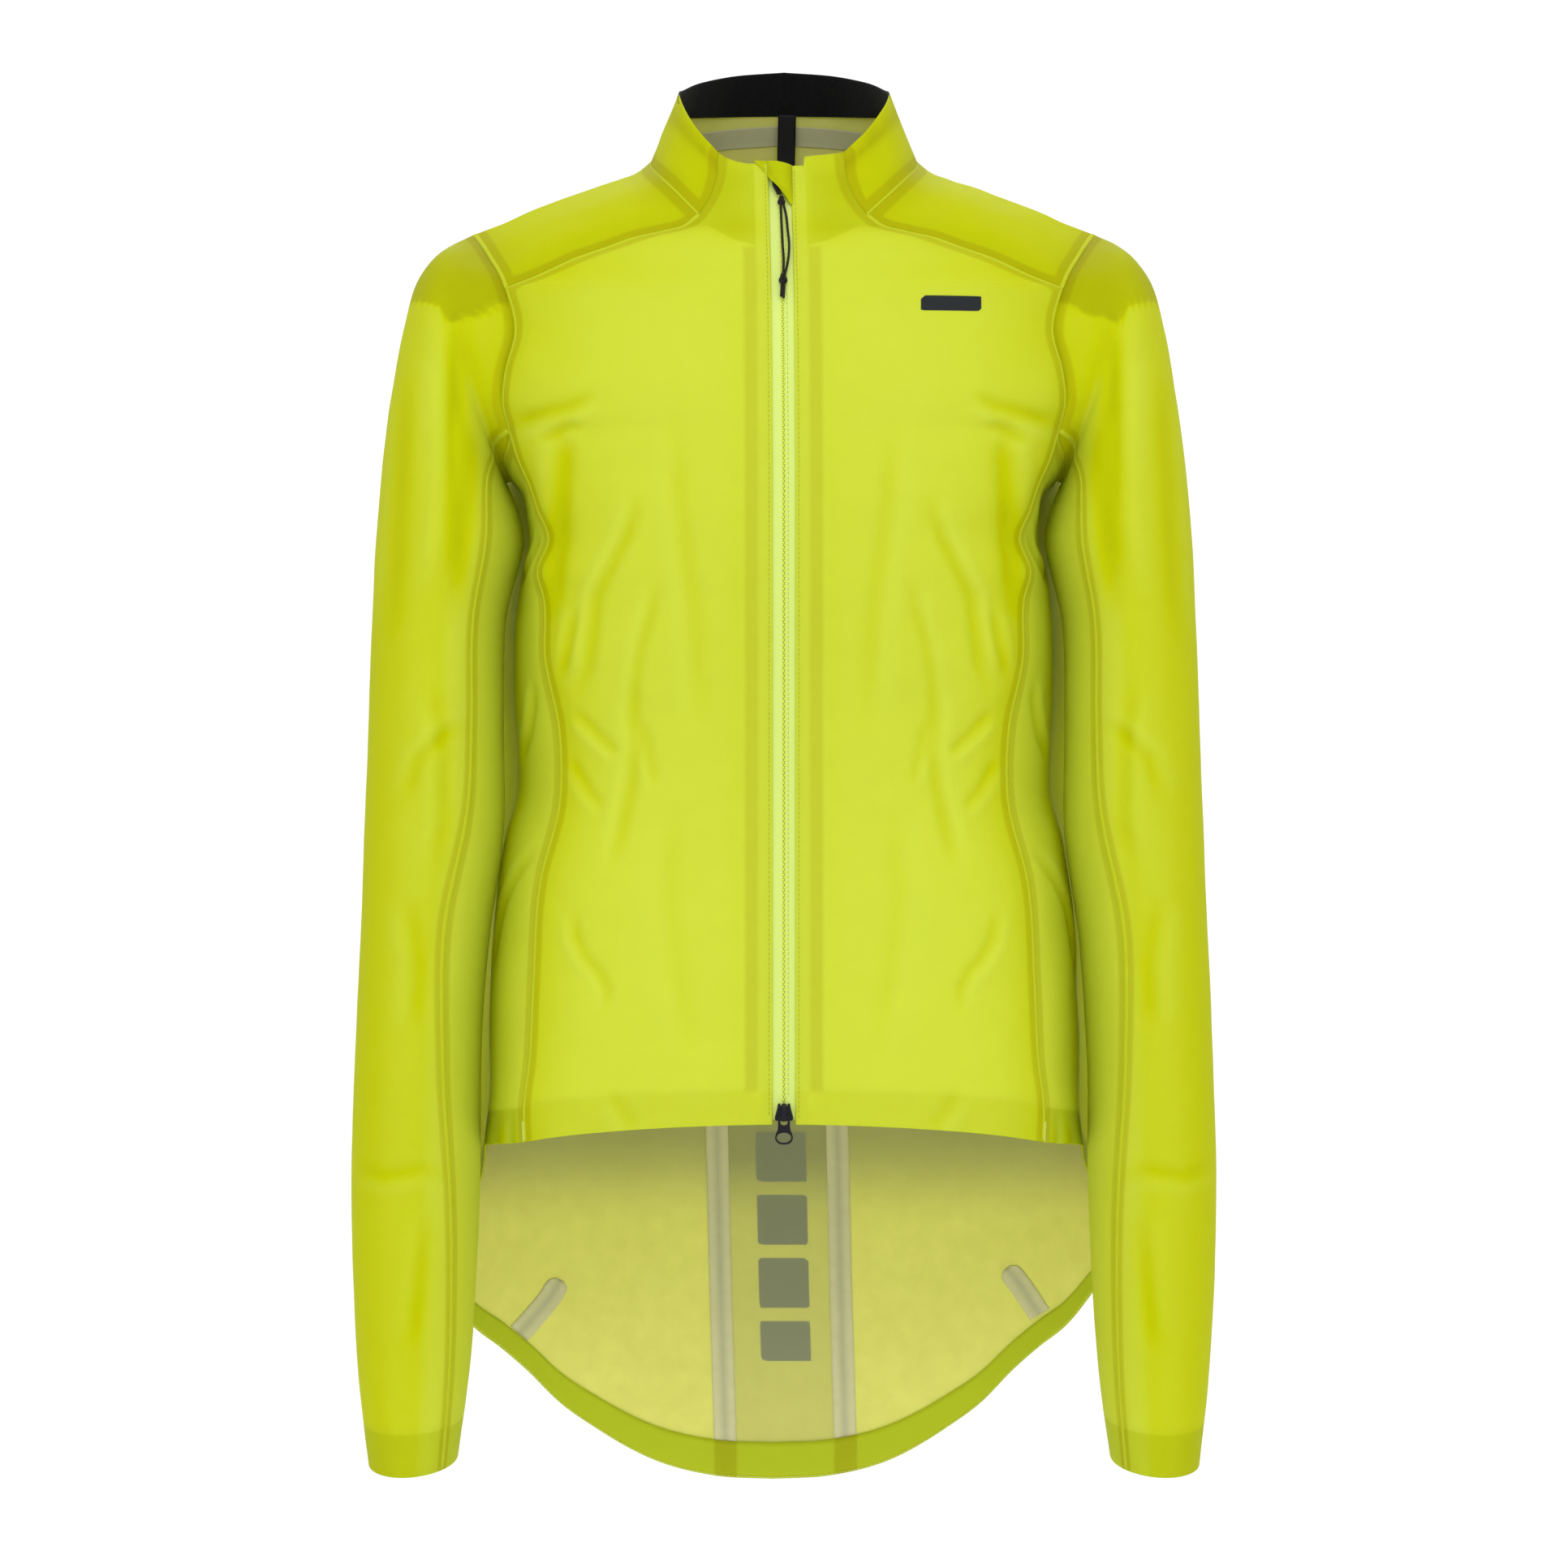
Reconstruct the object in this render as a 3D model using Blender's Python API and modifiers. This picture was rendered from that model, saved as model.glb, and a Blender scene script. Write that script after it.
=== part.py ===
"""A waterproof cycling jacket, filled out as when it is worn: its zip is closed, and its neck, hem and
cuffs are open.

Metres, +Z up, the front faces -Y, and +X is the wearer's left. The origin is the middle of the neck
at the height where the jacket bears on the shoulders. Every table is in millimetres. Its first column is
mostly the drop below the origin, and its widths are for the wearer's right side, counted outwards.
"""

import math

import bmesh
import bpy
import numpy as np
from mathutils import Matrix

# Driving sizes
MM = 0.001
WALL = 1.0  # cloth as a wall
HALF_GAP = 0.2  # each piece stops this far from its seam
LAYER = WALL + 0.4  # from the middle of one layer of cloth to the middle of the next
BENT_LAYER = LAYER + 0.3  # the same where the cloth below it bends sharply
ZIP_HALF = 7.0  # centre of the zip to the edge of a front
ZIP_TAPE = (1.5, 12.5)  # its inner and outer edges, from the zip's centre
ZIP_TAPE_DROPS = (9.5, 547.4)
COIL_HALF, COIL_DEPTH = 1.1, 1.8  # half the width of the closed coil, and its depth
COIL_DROPS = (20, 536)
PLACKET = (14.4, 21.8)  # the taped facing beside the zip
PLACKET_DROPS = (55.2, 530)
STRIP_HALF = 36.0  # half the width of the back's middle strip
SIDE_Y = -20.0  # the side's foremost fullness, as seen from the front
INNER_ARM_Y, INNER_ARM_OUT = 15.0, 2.0  # behind it the side runs straight back, past the arm
TAIL_SHIFT = 8.0  # the tail hangs this far to the wearer's right
FRONT_HEM = 548.0  # its drop at the zip
HEM_BAND = 15.5
BACK_TOP = 88.0  # drop of the seam between back and yoke
SEAM_TAPE = 13.5  # width of a seam tape
NECK_TAPE = (0.036, 0.1, 0.21)  # its share of the yoke below the neck seam, and of the collar above
LINING_TOP = 0.97  # share of the collar's height that the lining reaches
LABEL_WIDTH = 10.6
NECK_STATIONS = (0, 0.1, 0.2, 0.31, 0.42, 0.5, 0.58, 0.66, 0.75, 0.83, 0.92, 1)
BACK_CORNER = 0.66  # the neck station facing the yoke's rear corner
LINING_STATIONS = NECK_STATIONS[1:]
YOKE_SHARES = (0, 0.12, 0.3, 0.5, 0.7, 0.88, 1)  # from the neck outwards
COLLAR_SHARES = (0, 0.33, 0.66, 1)  # from the foot up
COLLAR_FOOT, COLLAR_EDGE = 35.0, -2.0  # drops of the front collar seam's ends
YOKE_INNER, YOKE_OUTER = 47.6, 158.2  # half widths of the front yoke seam's ends
# Degrees round the armhole from its top, by the front: where the panels' own lines meet it
YOKE_TURNS = (50, 38, 26, 13, 0, -20, -40, -60)
FRONT_TURNS = (50, 63, 76, 89, 102, 115)
SIDE_TURNS = (115, 131, 147, 162, 178, 194, 210, 225)
BACK_TURNS = (300, 281, 262, 244, 225)
SIDE_STATION_SHARES = (0, 0.36, 0.58, 1)  # across the side, where its level sections have their points
BACK_STATIONS = np.array([5, 5.35, 5.7, 6, 6.3, 6.65, 7])
STRIP_STATIONS = np.array([7, 7.25, 7.5])
# Drops where the front and the back have their lines along the seams with the side
FRONT_SEAM_DROPS = (157.5, 175, 192, 218, 238, 262, 300, 345, 390, 430, 474, 515, 545, 560)
FLANK_DROPS = (166, 187, 210, 238, 278, 325, 375, 432, 500)
TAIL_SHARES = (0.25, 0.5, 0.75)  # more lines between the last of those and the hem band

# drop, depth of the surface at the zip
FRONT_Y = [(-6, -71), (5, -76), (28, -87), (50, -95), (75, -102), (100, -108), (150, -117), (200, -121),
           (250, -119), (310, -112), (360, -109), (400, -110), (450, -114), (500, -117), (560, -120)]
# drop, half width at the side, a little in front of the middle; above the armhole it only steers the fronts
SIDE_X = [(-6, 60), (15, 72), (35, 105), (50, 150), (76, 182), (110, 184), (145, 180), (170, 166), (182, 158),
          (190, 151), (205, 147), (218, 146), (237, 150.5), (262, 154), (300, 155), (340, 153), (362, 152.5),
          (390, 159.5), (417, 163.5), (441, 166), (492, 168.6), (543, 169.5), (566, 172), (620, 178),
          (720, 184)]
# drop, half width, depth of the seam between side and back
FLANK = [(166, 160, 50), (187, 162, 52), (213, 160, 55), (240, 162, 58), (270, 166, 60), (310, 169, 62),
         (360, 167, 62), (390, 170, 62), (420, 173, 62), (480, 178, 63), (560, 186, 66), (610, 191, 70),
         (660, 194, 74), (720, 196, 78)]
# drop, depth of the back at its middle strip
SPINE_Y = [(-24, 92), (0, 96), (45, 102), (90, 107), (150, 113), (200, 112), (300, 100), (360, 96),
           (430, 100), (500, 108), (600, 118), (700, 124), (780, 127)]
# turn round the armhole from its top by the front, half width, depth, drop
ARMHOLE = [(0, 179, 3, 39.5), (25, 169.5, -30, 54.5), (50, 158.2, -60, 75.9), (66, 152.5, -68, 99),
           (84, 158, -71, 124), (100, 159.6, -70, 142), (115, 156, -66, 157.5), (145, 160, -45, 173),
           (180, 158, 0, 182), (225, 160, 50, 166), (250, 162, 65, 145), (272, 164, 70, 120),
           (300, 167, 65, 88), (330, 173, 41, 58), (360, 179, 3, 39.5)]
# drop, half width, depth of the seam between the grown-on collar front and the collar
COLLAR_SEAM = [(-2, 35.8, -56), (14.4, 37.2, -64.5), (26, 41.5, -70), (35, 47.6, -72)]
# half width, depth, drop of the seam between front and yoke
YOKE_SEAM = [(47.6, -72, 35), (54.5, -72.5, 40.5), (67.4, -73, 44.4), (86.3, -73, 48.8), (97.8, -72.5, 53),
             (118.1, -70.5, 59.9), (139.5, -66.5, 69.3), (158.2, -60, 75.9)]
# drop, half width, depth of the seam between front and side
SIDE_SEAM = [(157.5, 156, -66), (175, 150.5, -68), (188, 144.5, -70), (203, 139.5, -72), (218, 133.5, -75),
             (238, 140, -70), (252, 136.5, -72), (287, 135.5, -72), (327, 127.6, -74), (368, 127.2, -75),
             (413, 138, -77), (474, 142, -81), (515, 144, -83), (541, 147, -83), (560, 146.5, -84)]
# neck station, half width, depth, drop: the seam at the foot of the collar, then the collar's top edge
NECK = [(0, 47.6, -72, 35), (0.12, 63, -53, 18.8), (0.25, 71, -36, 10), (0.42, 77.3, 3, 0),
        (0.58, 75, 37, -8), (0.75, 60, 66, -15), (0.88, 34, 86, -21), (1, 0, 92, -24)]
COLLAR_TOP = [(0, 35.8, -56, -2), (0.12, 48.6, -43.5, -16.3), (0.25, 56.8, -24, -30), (0.42, 61, 5, -42),
              (0.58, 59, 32, -46.8), (0.75, 47, 58, -54.6), (0.88, 27, 75, -60.2), (1, 0, 80, -62.7)]
# half width from the tail's own middle, drop of its hem
TAIL_HEM = [(0, 774), (34, 772), (74, 761), (104, 744), (127, 727), (145, 708), (161, 693), (177, 679),
            (191, 660), (204, 640)]
# outer half width and drop, inner half width and drop, middle depth, half depth of the sleeve's rings
SLEEVE = [(199, 51, 161, 185, -1, 72), (210, 65, 159.5, 187.5, -3, 74), (219.5, 96, 158, 190, -5, 75),
          (226, 133, 156, 194, -8, 76), (231, 172, 152.5, 204, -12, 75), (234.5, 214, 150.5, 219, -16, 74),
          (236.5, 262, 160, 262, -19, 70), (238.5, 320, 161.5, 320, -22, 66), (241, 385, 161.5, 385, -23, 62),
          (243.5, 450, 170, 450, -24, 59), (246.5, 520, 174.5, 520, -24, 57), (248.3, 585, 175, 585, -24, 55),
          (247.3, 645, 177.5, 645, -23, 53), (244, 702, 181.5, 700, -21, 51), (238.8, 748, 188, 745, -20, 48)]
# drops of the front's top edge, from the zip to the collar seam
TOP_EDGE = {"right": (5.8, 5.8, 5.0, 4.7, 4.0, 2.0, -0.3, -2),
            "left": (7.9, 7.9, 2.0, 1.2, 0.2, -0.6, -1.4, -2)}
CUFF_DIP = 5.0  # the cuff's edge is lower at its front
# drop, sideways shift of the closed zip and of the tail's middle strip, which hang a little askew
ZIP_SWAY = [(-5, -2.7), (20, -2.3), (48, -1.5), (80, -0.8), (120, -0.35), (180, 0)]
TAIL_LEAN = [(400, 0), (560, -4.3), (660, -2), (760, 1)]
SWAY_FADES, LEAN_FADES = (22, 60), (50, 150)  # the half widths between which those shifts fade out
# neck station, share of the collar's height where the lining ends
LINING_LOW = [(0.1, 0.6), (0.3, 0.56), (0.5, 0.52), (0.75, 0.42), (1, 0.36)]
# drop, x of the free edge of the flap over the zip's top end, and how far its middle stands off
GARAGE = [(4.6, -14.6, 6.6), (8, -11.5, 7.8), (12, -8.5, 7.6), (16.1, -5.5, 7.2), (20.7, -1.1, 6.8),
          (26, 2.8, 3.4), (30.8, 5.6, 1.5)]
GARAGE_SEWN = 8.5  # x of its seam on the left front
GARAGE_TILT = 3.2  # how much lower its top edge is at that seam
# half width, drop of the lower edge of the facing inside a collar front
FACING_TOP, FACING_INSET = 9.5, 2.5
FACING_LOW = [(15.5, 54.3), (20, 53.2), (25, 51.7), (30, 49.6), (34, 47.5), (38.5, 45), (43, 42.5)]
# x, drop along the middle of each taped dart beside the tail's hem
DART_RIGHT = [(-132.9, 657.8), (-145, 671.5), (-157.8, 684.9)]
DART_LEFT = [(133.4, 647.4), (143.5, 660.5), (152.9, 674.6)]
# drop, y of the neck label's middle, which hangs from the lining
LABEL_FALL = [(-40, 83.2), (-30, 84.4), (-18, 85.6), (6, 86)]
LABEL_LEAN = (1.9, 0.8)  # x of its top and of its lower end

# Hardware. Slider outline, from its top down: half width, height above its middle
SLIDER_SIDE = [(3.2, 4.9), (3.6, 1.5), (5.0, -3.2), (4.6, -4.9)]
SLIDER_FRONT = (-1.9, -0.5)  # depth of its front plate, from the cloth's surface
SLIDER_BACK = (2.7, 3.7)
SLIDER_NECK = 1.0  # half the width of what joins the plates
BRIDGE_HALF = 1.5
BRIDGE_LEGS = ((-5.3, -4.2), (3.4, 4.6))  # heights of its feet
BRIDGE_FRONT = (-5.2, -4.2)
BOTTOM_SLIDER_DROP, TOP_SLIDER_DROP, TOP_SLIDER_LEAN = 541.5, 14.5, 25.0
HINGE_DEPTH, HINGE_HEIGHT = -2.95, -3.1  # the pull tab's axis, from the slider's middle
TAB_THICK = 1.2
TAB_EYE = (4.05, 2.75, -11.1)  # half width, half height and height of the oval eye
# half width, height of the pull tab's outline, from its top down
TAB_SIDE = [(3.4, 0.5), (3.35, -4.2), (3.5, -6.6), (4.3, -8.6), (5.0, -10.6), (4.9, -12), (3.9, -13.7),
            (2, -14.7), (0, -14.9)]
TAB_SLOT = [(1.95, -0.65), (1.95, -2.8), (1.4, -3.7), (0, -4.1)]
CORD = 1.3  # its diameter
# x, drop along each strand of the cord puller, from the upper knot to the lower one
STRAND_RIGHT = [(-1.95, 32.6), (-1.7, 38), (-1.4, 46), (-0.9, 54), (-0.3, 63), (0.2, 70.2)]
STRAND_LEFT = [(1.0, 32.6), (1.6, 38), (2.1, 46), (2.9, 54.8), (2.2, 64), (1.5, 70.2)]
CORD_LOOP = [(-5.4, 17), (-5.1, 19.5), (-3.7, 22.5), (-2.5, 25)]  # from the top slider to the upper knot
CORD_END = [(-0.6, 77.8), (-0.8, 81), (-1.0, 85)]  # the two ends, side by side
PAIR = 2.3  # width of the loop and of the ends, where two strands lie together
CORD_DEPTH = -2.0  # from the surface of the fronts to the strands
LOOP_DEPTH = -3.7
UPPER_KNOT = (-1.5, 28.8, 2.3, 3.2)  # x, drop, radius across, half height
LOWER_KNOT = (-0.5, 74.1, 2.3, 3.2)


# Curves and surfaces

def on_curve(rows, keys):
    """Values of the smooth curve through rows of (key, value, ...), where key is each of keys."""
    rows = np.array(rows, float)
    known, values = rows[:, 0], rows[:, 1:]
    keys = np.asarray(keys, float)
    gaps = np.diff(known)[:, None]
    rise = np.diff(values, axis=0) / gaps
    inner = (rise[:-1] * gaps[1:] + rise[1:] * gaps[:-1]) / (gaps[1:] + gaps[:-1])
    slope = np.vstack([rise[:1], inner, rise[-1:]])
    i = np.clip(np.searchsorted(known, keys) - 1, 0, len(known) - 2)
    gap = gaps[i]
    t = (keys - known[i])[..., None] / gap
    return ((1 + 2 * t) * (1 - t) ** 2 * values[i] + t * (1 - t) ** 2 * gap * slope[i]
            + t ** 2 * (3 - 2 * t) * values[i + 1] - t ** 2 * (1 - t) * gap * slope[i + 1])


def armhole(turns):
    """Points (x, y, drop) of the right armhole, for turns in degrees."""
    points = on_curve(ARMHOLE, np.asarray(turns, float) % 360)
    return points * (-1, 1, 1)


def seam_between(rows, keys, key_last):
    """Points (x, y, drop) of a seam on the right. Its rows' key is the drop or, with key_last, the half
    width."""
    keys = np.asarray(keys, float)
    values = on_curve(rows, keys)
    if key_last:
        return np.stack([-keys, values[..., 0], values[..., 1]], -1)
    return np.stack([-values[..., 0], values[..., 1], keys], -1)


def collar_seam(shares):
    """Points of the seam between a front and the collar, from the collar's foot up."""
    return seam_between(COLLAR_SEAM, np.interp(shares, (0, 1), (COLLAR_FOOT, COLLAR_EDGE)), False)


def yoke_seam(shares):
    """Points of the seam between a front and the yoke, from the collar's foot to the armhole."""
    return seam_between(YOKE_SEAM, np.interp(shares, (0, 1), (YOKE_INNER, YOKE_OUTER)), True)


def ring(drop, front_seam, flank):
    """The points that the torso's level section passes, from the front seam's mirror image to the back's."""
    front = np.stack([0 * drop, on_curve(FRONT_Y, drop)[..., 0]], -1)
    side = np.stack([-on_curve(SIDE_X, drop)[..., 0], 0 * drop + SIDE_Y], -1)
    inner_arm = np.stack([side[..., 0] - INNER_ARM_OUT, 0 * drop + INNER_ARM_Y], -1)
    spine_y = on_curve(SPINE_Y, drop)[..., 0]
    spine = np.stack([0 * drop - STRIP_HALF, spine_y], -1)
    rear = np.stack([0.79 * flank[..., 0], flank[..., 1] + 0.74 * (spine_y - flank[..., 1])], -1)
    turned = np.array([-1, 1])
    return [front_seam * turned, front, front_seam, side, inner_arm, flank, rear, spine, spine * turned,
            rear * turned]


def torso(station, drop, front_seam=None, flank=None):
    """Points (x, y, drop) of the torso: station 1 is the zip, 2 the front seam, 3 and 4 the side, 5 the
    side-back seam, 6 the rear corner, 7 the strip's seam and 7.5 the middle of the back."""
    station, drop = np.broadcast_arrays(np.asarray(station, float), np.asarray(drop, float))
    if front_seam is None:
        front_seam = seam_between(SIDE_SEAM, np.clip(drop, 157.5, 560), False)[..., :2]
    if flank is None:
        flank = on_curve(FLANK, np.maximum(drop, 166)) * (-1, 1)
    front_seam = np.broadcast_to(front_seam, drop.shape + (2,))
    flank = np.broadcast_to(flank, drop.shape + (2,))
    points = np.stack(ring(drop, front_seam, flank))
    first = np.clip(station.astype(int), 1, 7)
    before, start, end, after = (np.take_along_axis(points, (first + k)[None, ..., None], 0)[0]
                                 for k in (-1, 0, 1, 2))
    steps = (start - before, end - start, after - end)
    gaps = [np.linalg.norm(step, axis=-1, keepdims=True) for step in steps]
    rises = [step / gap for step, gap in zip(steps, gaps)]
    leave = (rises[0] * gaps[1] + rises[1] * gaps[0]) / (gaps[0] + gaps[1])
    arrive = (rises[1] * gaps[2] + rises[2] * gaps[1]) / (gaps[1] + gaps[2])
    t = (station - first)[..., None]
    flat = ((1 + 2 * t) * (1 - t) ** 2 * start + t * (1 - t) ** 2 * gaps[1] * leave
            + t ** 2 * (3 - 2 * t) * end - t ** 2 * (1 - t) * gaps[1] * arrive)
    return np.concatenate([flat, drop[..., None]], -1)


def filled(near, far, first, last, u, v):
    """Points at (u, v) of a patch between four edges, which are functions: near and far run along u, where v
    is 0 and 1, and first and last along v, where u is 0 and 1."""
    across, up = u[..., None], v[..., None]
    sides = (1 - up) * near(u) + up * far(u) + (1 - across) * first(v) + across * last(v)
    corners = ((1 - across) * ((1 - up) * near(0) + up * far(0))
               + across * ((1 - up) * near(1) + up * far(1)))
    return sides - corners


def neck_edge(u):
    return on_curve(NECK, u) * (-1, 1, 1)


def collar_edge(u):
    return on_curve(COLLAR_TOP, u) * (-1, 1, 1)


def collar(u, v):
    """Points of the collar's right half: u runs from its front seam to the centre back, and v upwards. It is
    straight from its foot to its edge, but beside its front seam it follows that seam's curve."""
    up = v[..., None]
    seam_bulge = collar_seam(v) - (1 - up) * neck_edge(0) - up * collar_edge(0)
    return (1 - up) * neck_edge(u) + up * collar_edge(u) + (1 - u[..., None]) ** 4 * seam_bulge


def yoke_edge(u):
    """The yoke's outer edge: down the armhole, then along the back seam."""
    arm = armhole(np.interp(u, NECK_STATIONS[:len(YOKE_TURNS)], YOKE_TURNS))
    station = np.interp(u, (BACK_CORNER, 0.92, 1), (5, 7, 7.5))
    behind = torso(station, BACK_TOP, flank=armhole(BACK_TURNS[0])[:2])
    return np.where((np.asarray(u) <= BACK_CORNER)[..., None], arm, behind)


def yoke_spine(v):
    """The yoke's line down the centre back."""
    drop = np.interp(v, (0, 1), (neck_edge(1)[2], BACK_TOP))
    depth = on_curve(SPINE_Y, drop)[..., 0]
    seam_bulge = yoke_edge(1)[1] - on_curve(SPINE_Y, BACK_TOP)[0]
    return np.stack([0 * drop, depth + v * seam_bulge, drop], -1)


def yoke(u, v):
    """Points of the yoke's right half: u as on the collar, v from the neck outwards."""
    return filled(neck_edge, yoke_edge, yoke_seam, yoke_spine, u, v)


def swayed(points):
    """Points of the front and the back, moved sideways as the zip and the tail's strip hang."""
    width, depth, drop = np.moveaxis(points, -1, 0)
    front = np.interp(drop, *zip(*ZIP_SWAY)) * np.interp(np.abs(width), SWAY_FADES, (1, 0))
    back = np.interp(drop, *zip(*TAIL_LEAN)) * np.interp(np.abs(width), LEAN_FADES, (1, 0))
    return points + np.stack([np.where(depth < 0, front, back), 0 * drop, 0 * drop], -1)


def on_panel(panel, x, drop):
    """Points (x, y, drop) on a panel, between its own rows, so that what lies there keeps its distance."""
    x, drop = np.broadcast_arrays(np.asarray(x, float), np.asarray(drop, float))
    rows = [row[np.argsort(row[:, 0])] for row in panel]
    depth = np.empty(x.shape)
    for at in np.ndindex(x.shape):
        levels = [np.interp(x[at], row[:, 0], row[:, 2]) for row in rows]
        depths = [np.interp(x[at], row[:, 0], row[:, 1]) for row in rows]
        depth[at] = np.interp(drop[at], levels, depths)
    return np.stack([x, depth, drop], -1)


def tail_drop(x):
    """Drop of the tail's hem where it crosses x."""
    return on_curve(TAIL_HEM, np.abs(x + TAIL_SHIFT))[..., 0]


def trimmed(grid, **sides):
    """The grid with named edges (top, bottom, first, last) moved into the cloth, by millimetres."""
    grid = grid.copy()
    edges = {"top": (0, 1), "bottom": (-1, -2), "first": (0, 1), "last": (-1, -2)}
    for name, by in sides.items():
        at, inner = edges[name]
        view = grid if name in ("top", "bottom") else grid.swapaxes(0, 1)
        way = view[inner] - view[at]
        view[at] = view[at] + way / np.linalg.norm(way, axis=-1, keepdims=True) * np.reshape(by, (-1, 1))
    return grid


def mirrored(grid):
    return grid * (-1, 1, 1)


# Objects

def clear_scene():
    for old in list(bpy.data.objects):
        bpy.data.objects.remove(old, do_unlink=True)


def material(name, red, green, blue, roughness, metallic=0.0):
    made = bpy.data.materials.new(name)
    made.use_nodes = True
    shader = made.node_tree.nodes["Principled BSDF"]
    shader.inputs["Base Color"].default_value = (red, green, blue, 1)
    shader.inputs["Roughness"].default_value = roughness
    shader.inputs["Metallic"].default_value = metallic
    return made


def add(name, mesh, finish):
    """Puts a mesh into the jacket's collection as the object called name."""
    mesh.materials.append(finish)
    made = bpy.data.objects.new(name, mesh)
    jacket.objects.link(made)
    return made


def sheet_mesh(name, grid, closed=False):
    """An open surface from rows of points (x, y, drop) in millimetres; closed joins each row's ends."""
    rows, columns = grid.shape[:2]
    points = (grid * (MM, MM, -MM)).reshape(-1, 3)
    across = columns if closed else columns - 1
    faces = [(r * columns + c, r * columns + (c + 1) % columns, (r + 1) * columns + (c + 1) % columns,
              (r + 1) * columns + c) for r in range(rows - 1) for c in range(across)]
    mesh = bpy.data.meshes.new(name)
    mesh.from_pydata(points.tolist(), [], faces)
    mesh.shade_smooth()
    return mesh


def cloth(name, grid, finish, thick=WALL, closed=False):
    """Cloth of the given thickness, with its middle on the grid."""
    made = add(name, sheet_mesh(name, swayed(grid), closed), finish)
    wall = made.modifiers.new("Wall", "SOLIDIFY")
    wall.thickness = thick * MM
    wall.offset = 0


def inwards(grid, by, closed=False):
    """The grid moved into the garment along its normals."""
    along = np.gradient(grid, axis=0)
    across = (np.roll(grid, -1, 1) - np.roll(grid, 1, 1)) if closed else np.gradient(grid, axis=1)
    normal = np.cross(along, across)
    normal /= np.linalg.norm(normal, axis=-1, keepdims=True)
    from_middle = grid - np.stack([0 * grid[..., 2], 0 * grid[..., 2], np.maximum(grid[..., 2], 150)], -1)
    outward = np.sign((from_middle * normal).sum())
    return grid - by * outward * normal


# Pieces of cloth: each grid has a row for each level, from its top down

def front_grid(side):
    """A front with its grown-on collar front. Its rows are level, and bend only to the top edge and hem."""
    collar = collar_seam(COLLAR_SHARES)[:0:-1]
    shoulder = yoke_seam(YOKE_SHARES)[:-1]
    arm = armhole(FRONT_TURNS)
    flank = seam_between(SIDE_SEAM, FRONT_SEAM_DROPS[1:], False)
    seam = np.concatenate([collar, shoulder, arm, flank])
    drop = seam[:, 2]
    fixed = np.array([ZIP_HALF, *PLACKET])
    shares = np.array([0.2, 0.42, 0.64, 0.84, 1.0])
    station = []
    for width in -seam[:, 0]:
        station.append([*(fixed / width), *(fixed[-1] / width + shares * (1 - fixed[-1] / width))])
    station = np.array(station)
    rise = np.clip(1 - (drop - drop[0]) / 30, 0, 1)[:, None]
    fall = np.clip(1 - (drop[-1] - drop) / 130, 0, 1)[:, None]
    hem = FRONT_HEM + (drop[-1] - FRONT_HEM) * station ** 2
    level = drop[:, None] + rise * (np.array(TOP_EDGE[side]) - drop[0]) + fall * (hem - drop[-1])
    grid = torso(1 + station, level, seam[:, None, :2])
    grid[:, :3, 0] = -fixed
    grid = trimmed(grid, last=HALF_GAP)
    return grid if side == "right" else mirrored(grid)


def side_grid(side):
    """The narrow side from the underarm to the hem, which starts to drop to the tail."""
    share = np.linspace(0, 1, len(SIDE_TURNS))
    station = np.interp(share, SIDE_STATION_SHARES, (2, 3, 4, 5))
    top = armhole(SIDE_TURNS)
    flank = flank_drops(side)
    hem = np.interp(share, (0, 0.4, 1), (FRONT_SEAM_DROPS[-1], 566, flank[-1]))
    hem -= 14 * np.sin(math.pi * np.clip((share - 0.4) / 0.6, 0, 1))
    down_front = np.interp(FRONT_SEAM_DROPS, (FRONT_SEAM_DROPS[0], FRONT_SEAM_DROPS[-1]), (0, 1))[:, None]
    down_back = np.interp(flank, (flank[0], flank[-1]), (0, 1))[:, None]
    drop = top[:, 2] + ((1 - share) * down_front + share * down_back) * (hem - top[:, 2])
    grid = torso(station + 0 * drop, drop)
    fade = np.clip(1 - (drop - top[:, 2]) / 45, 0, 1)[..., None] ** 2
    grid[..., :2] += fade * (top[:, :2] - grid[0, :, :2])
    grid = trimmed(grid, top=0.5, first=HALF_GAP, last=0.35)
    return grid if side == "right" else mirrored(grid)


def hem_drops(station, side):
    """Drops of the tail's hem at these stations. The hem isn't the same on both sides."""
    turned = 1 if side == "right" else -1
    hem = np.full(len(station), 700.0)
    for _ in range(8):
        hem = tail_drop(turned * torso(station, hem)[..., 0])
    return hem


def flank_drops(side):
    """Drops of the lines along the seam between side and back."""
    hem = hem_drops(np.array([5.0]), side)[0]
    band = hem - HEM_BAND
    return [*FLANK_DROPS, *(FLANK_DROPS[-1] + (band - FLANK_DROPS[-1]) * np.array(TAIL_SHARES)), band, hem]


def back_rows(station, side):
    """Rows of the back at these stations, from the yoke seam down to the tail's hem. The last row but one is
    where the hem band ends."""
    upper = armhole(BACK_TURNS)
    hem = hem_drops(station, side)
    band = hem - HEM_BAND
    start = FLANK_DROPS[-1]
    level = np.array([*upper[:, 2], *FLANK_DROPS[1:]])[:, None] * np.ones(len(station))
    tail = start + (band - start) * np.array(TAIL_SHARES)[:, None]
    drops = np.concatenate([level, tail, band[None], hem[None]])
    flank = [*upper[:, :2], *[None] * (len(drops) - len(upper))]
    return np.stack([torso(station, drop, flank=edge) for drop, edge in zip(drops, flank)])


def back_side_grid(side):
    grid = trimmed(back_rows(BACK_STATIONS, side), top=HALF_GAP, first=HALF_GAP, last=HALF_GAP)
    return grid if side == "right" else mirrored(grid)


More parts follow.
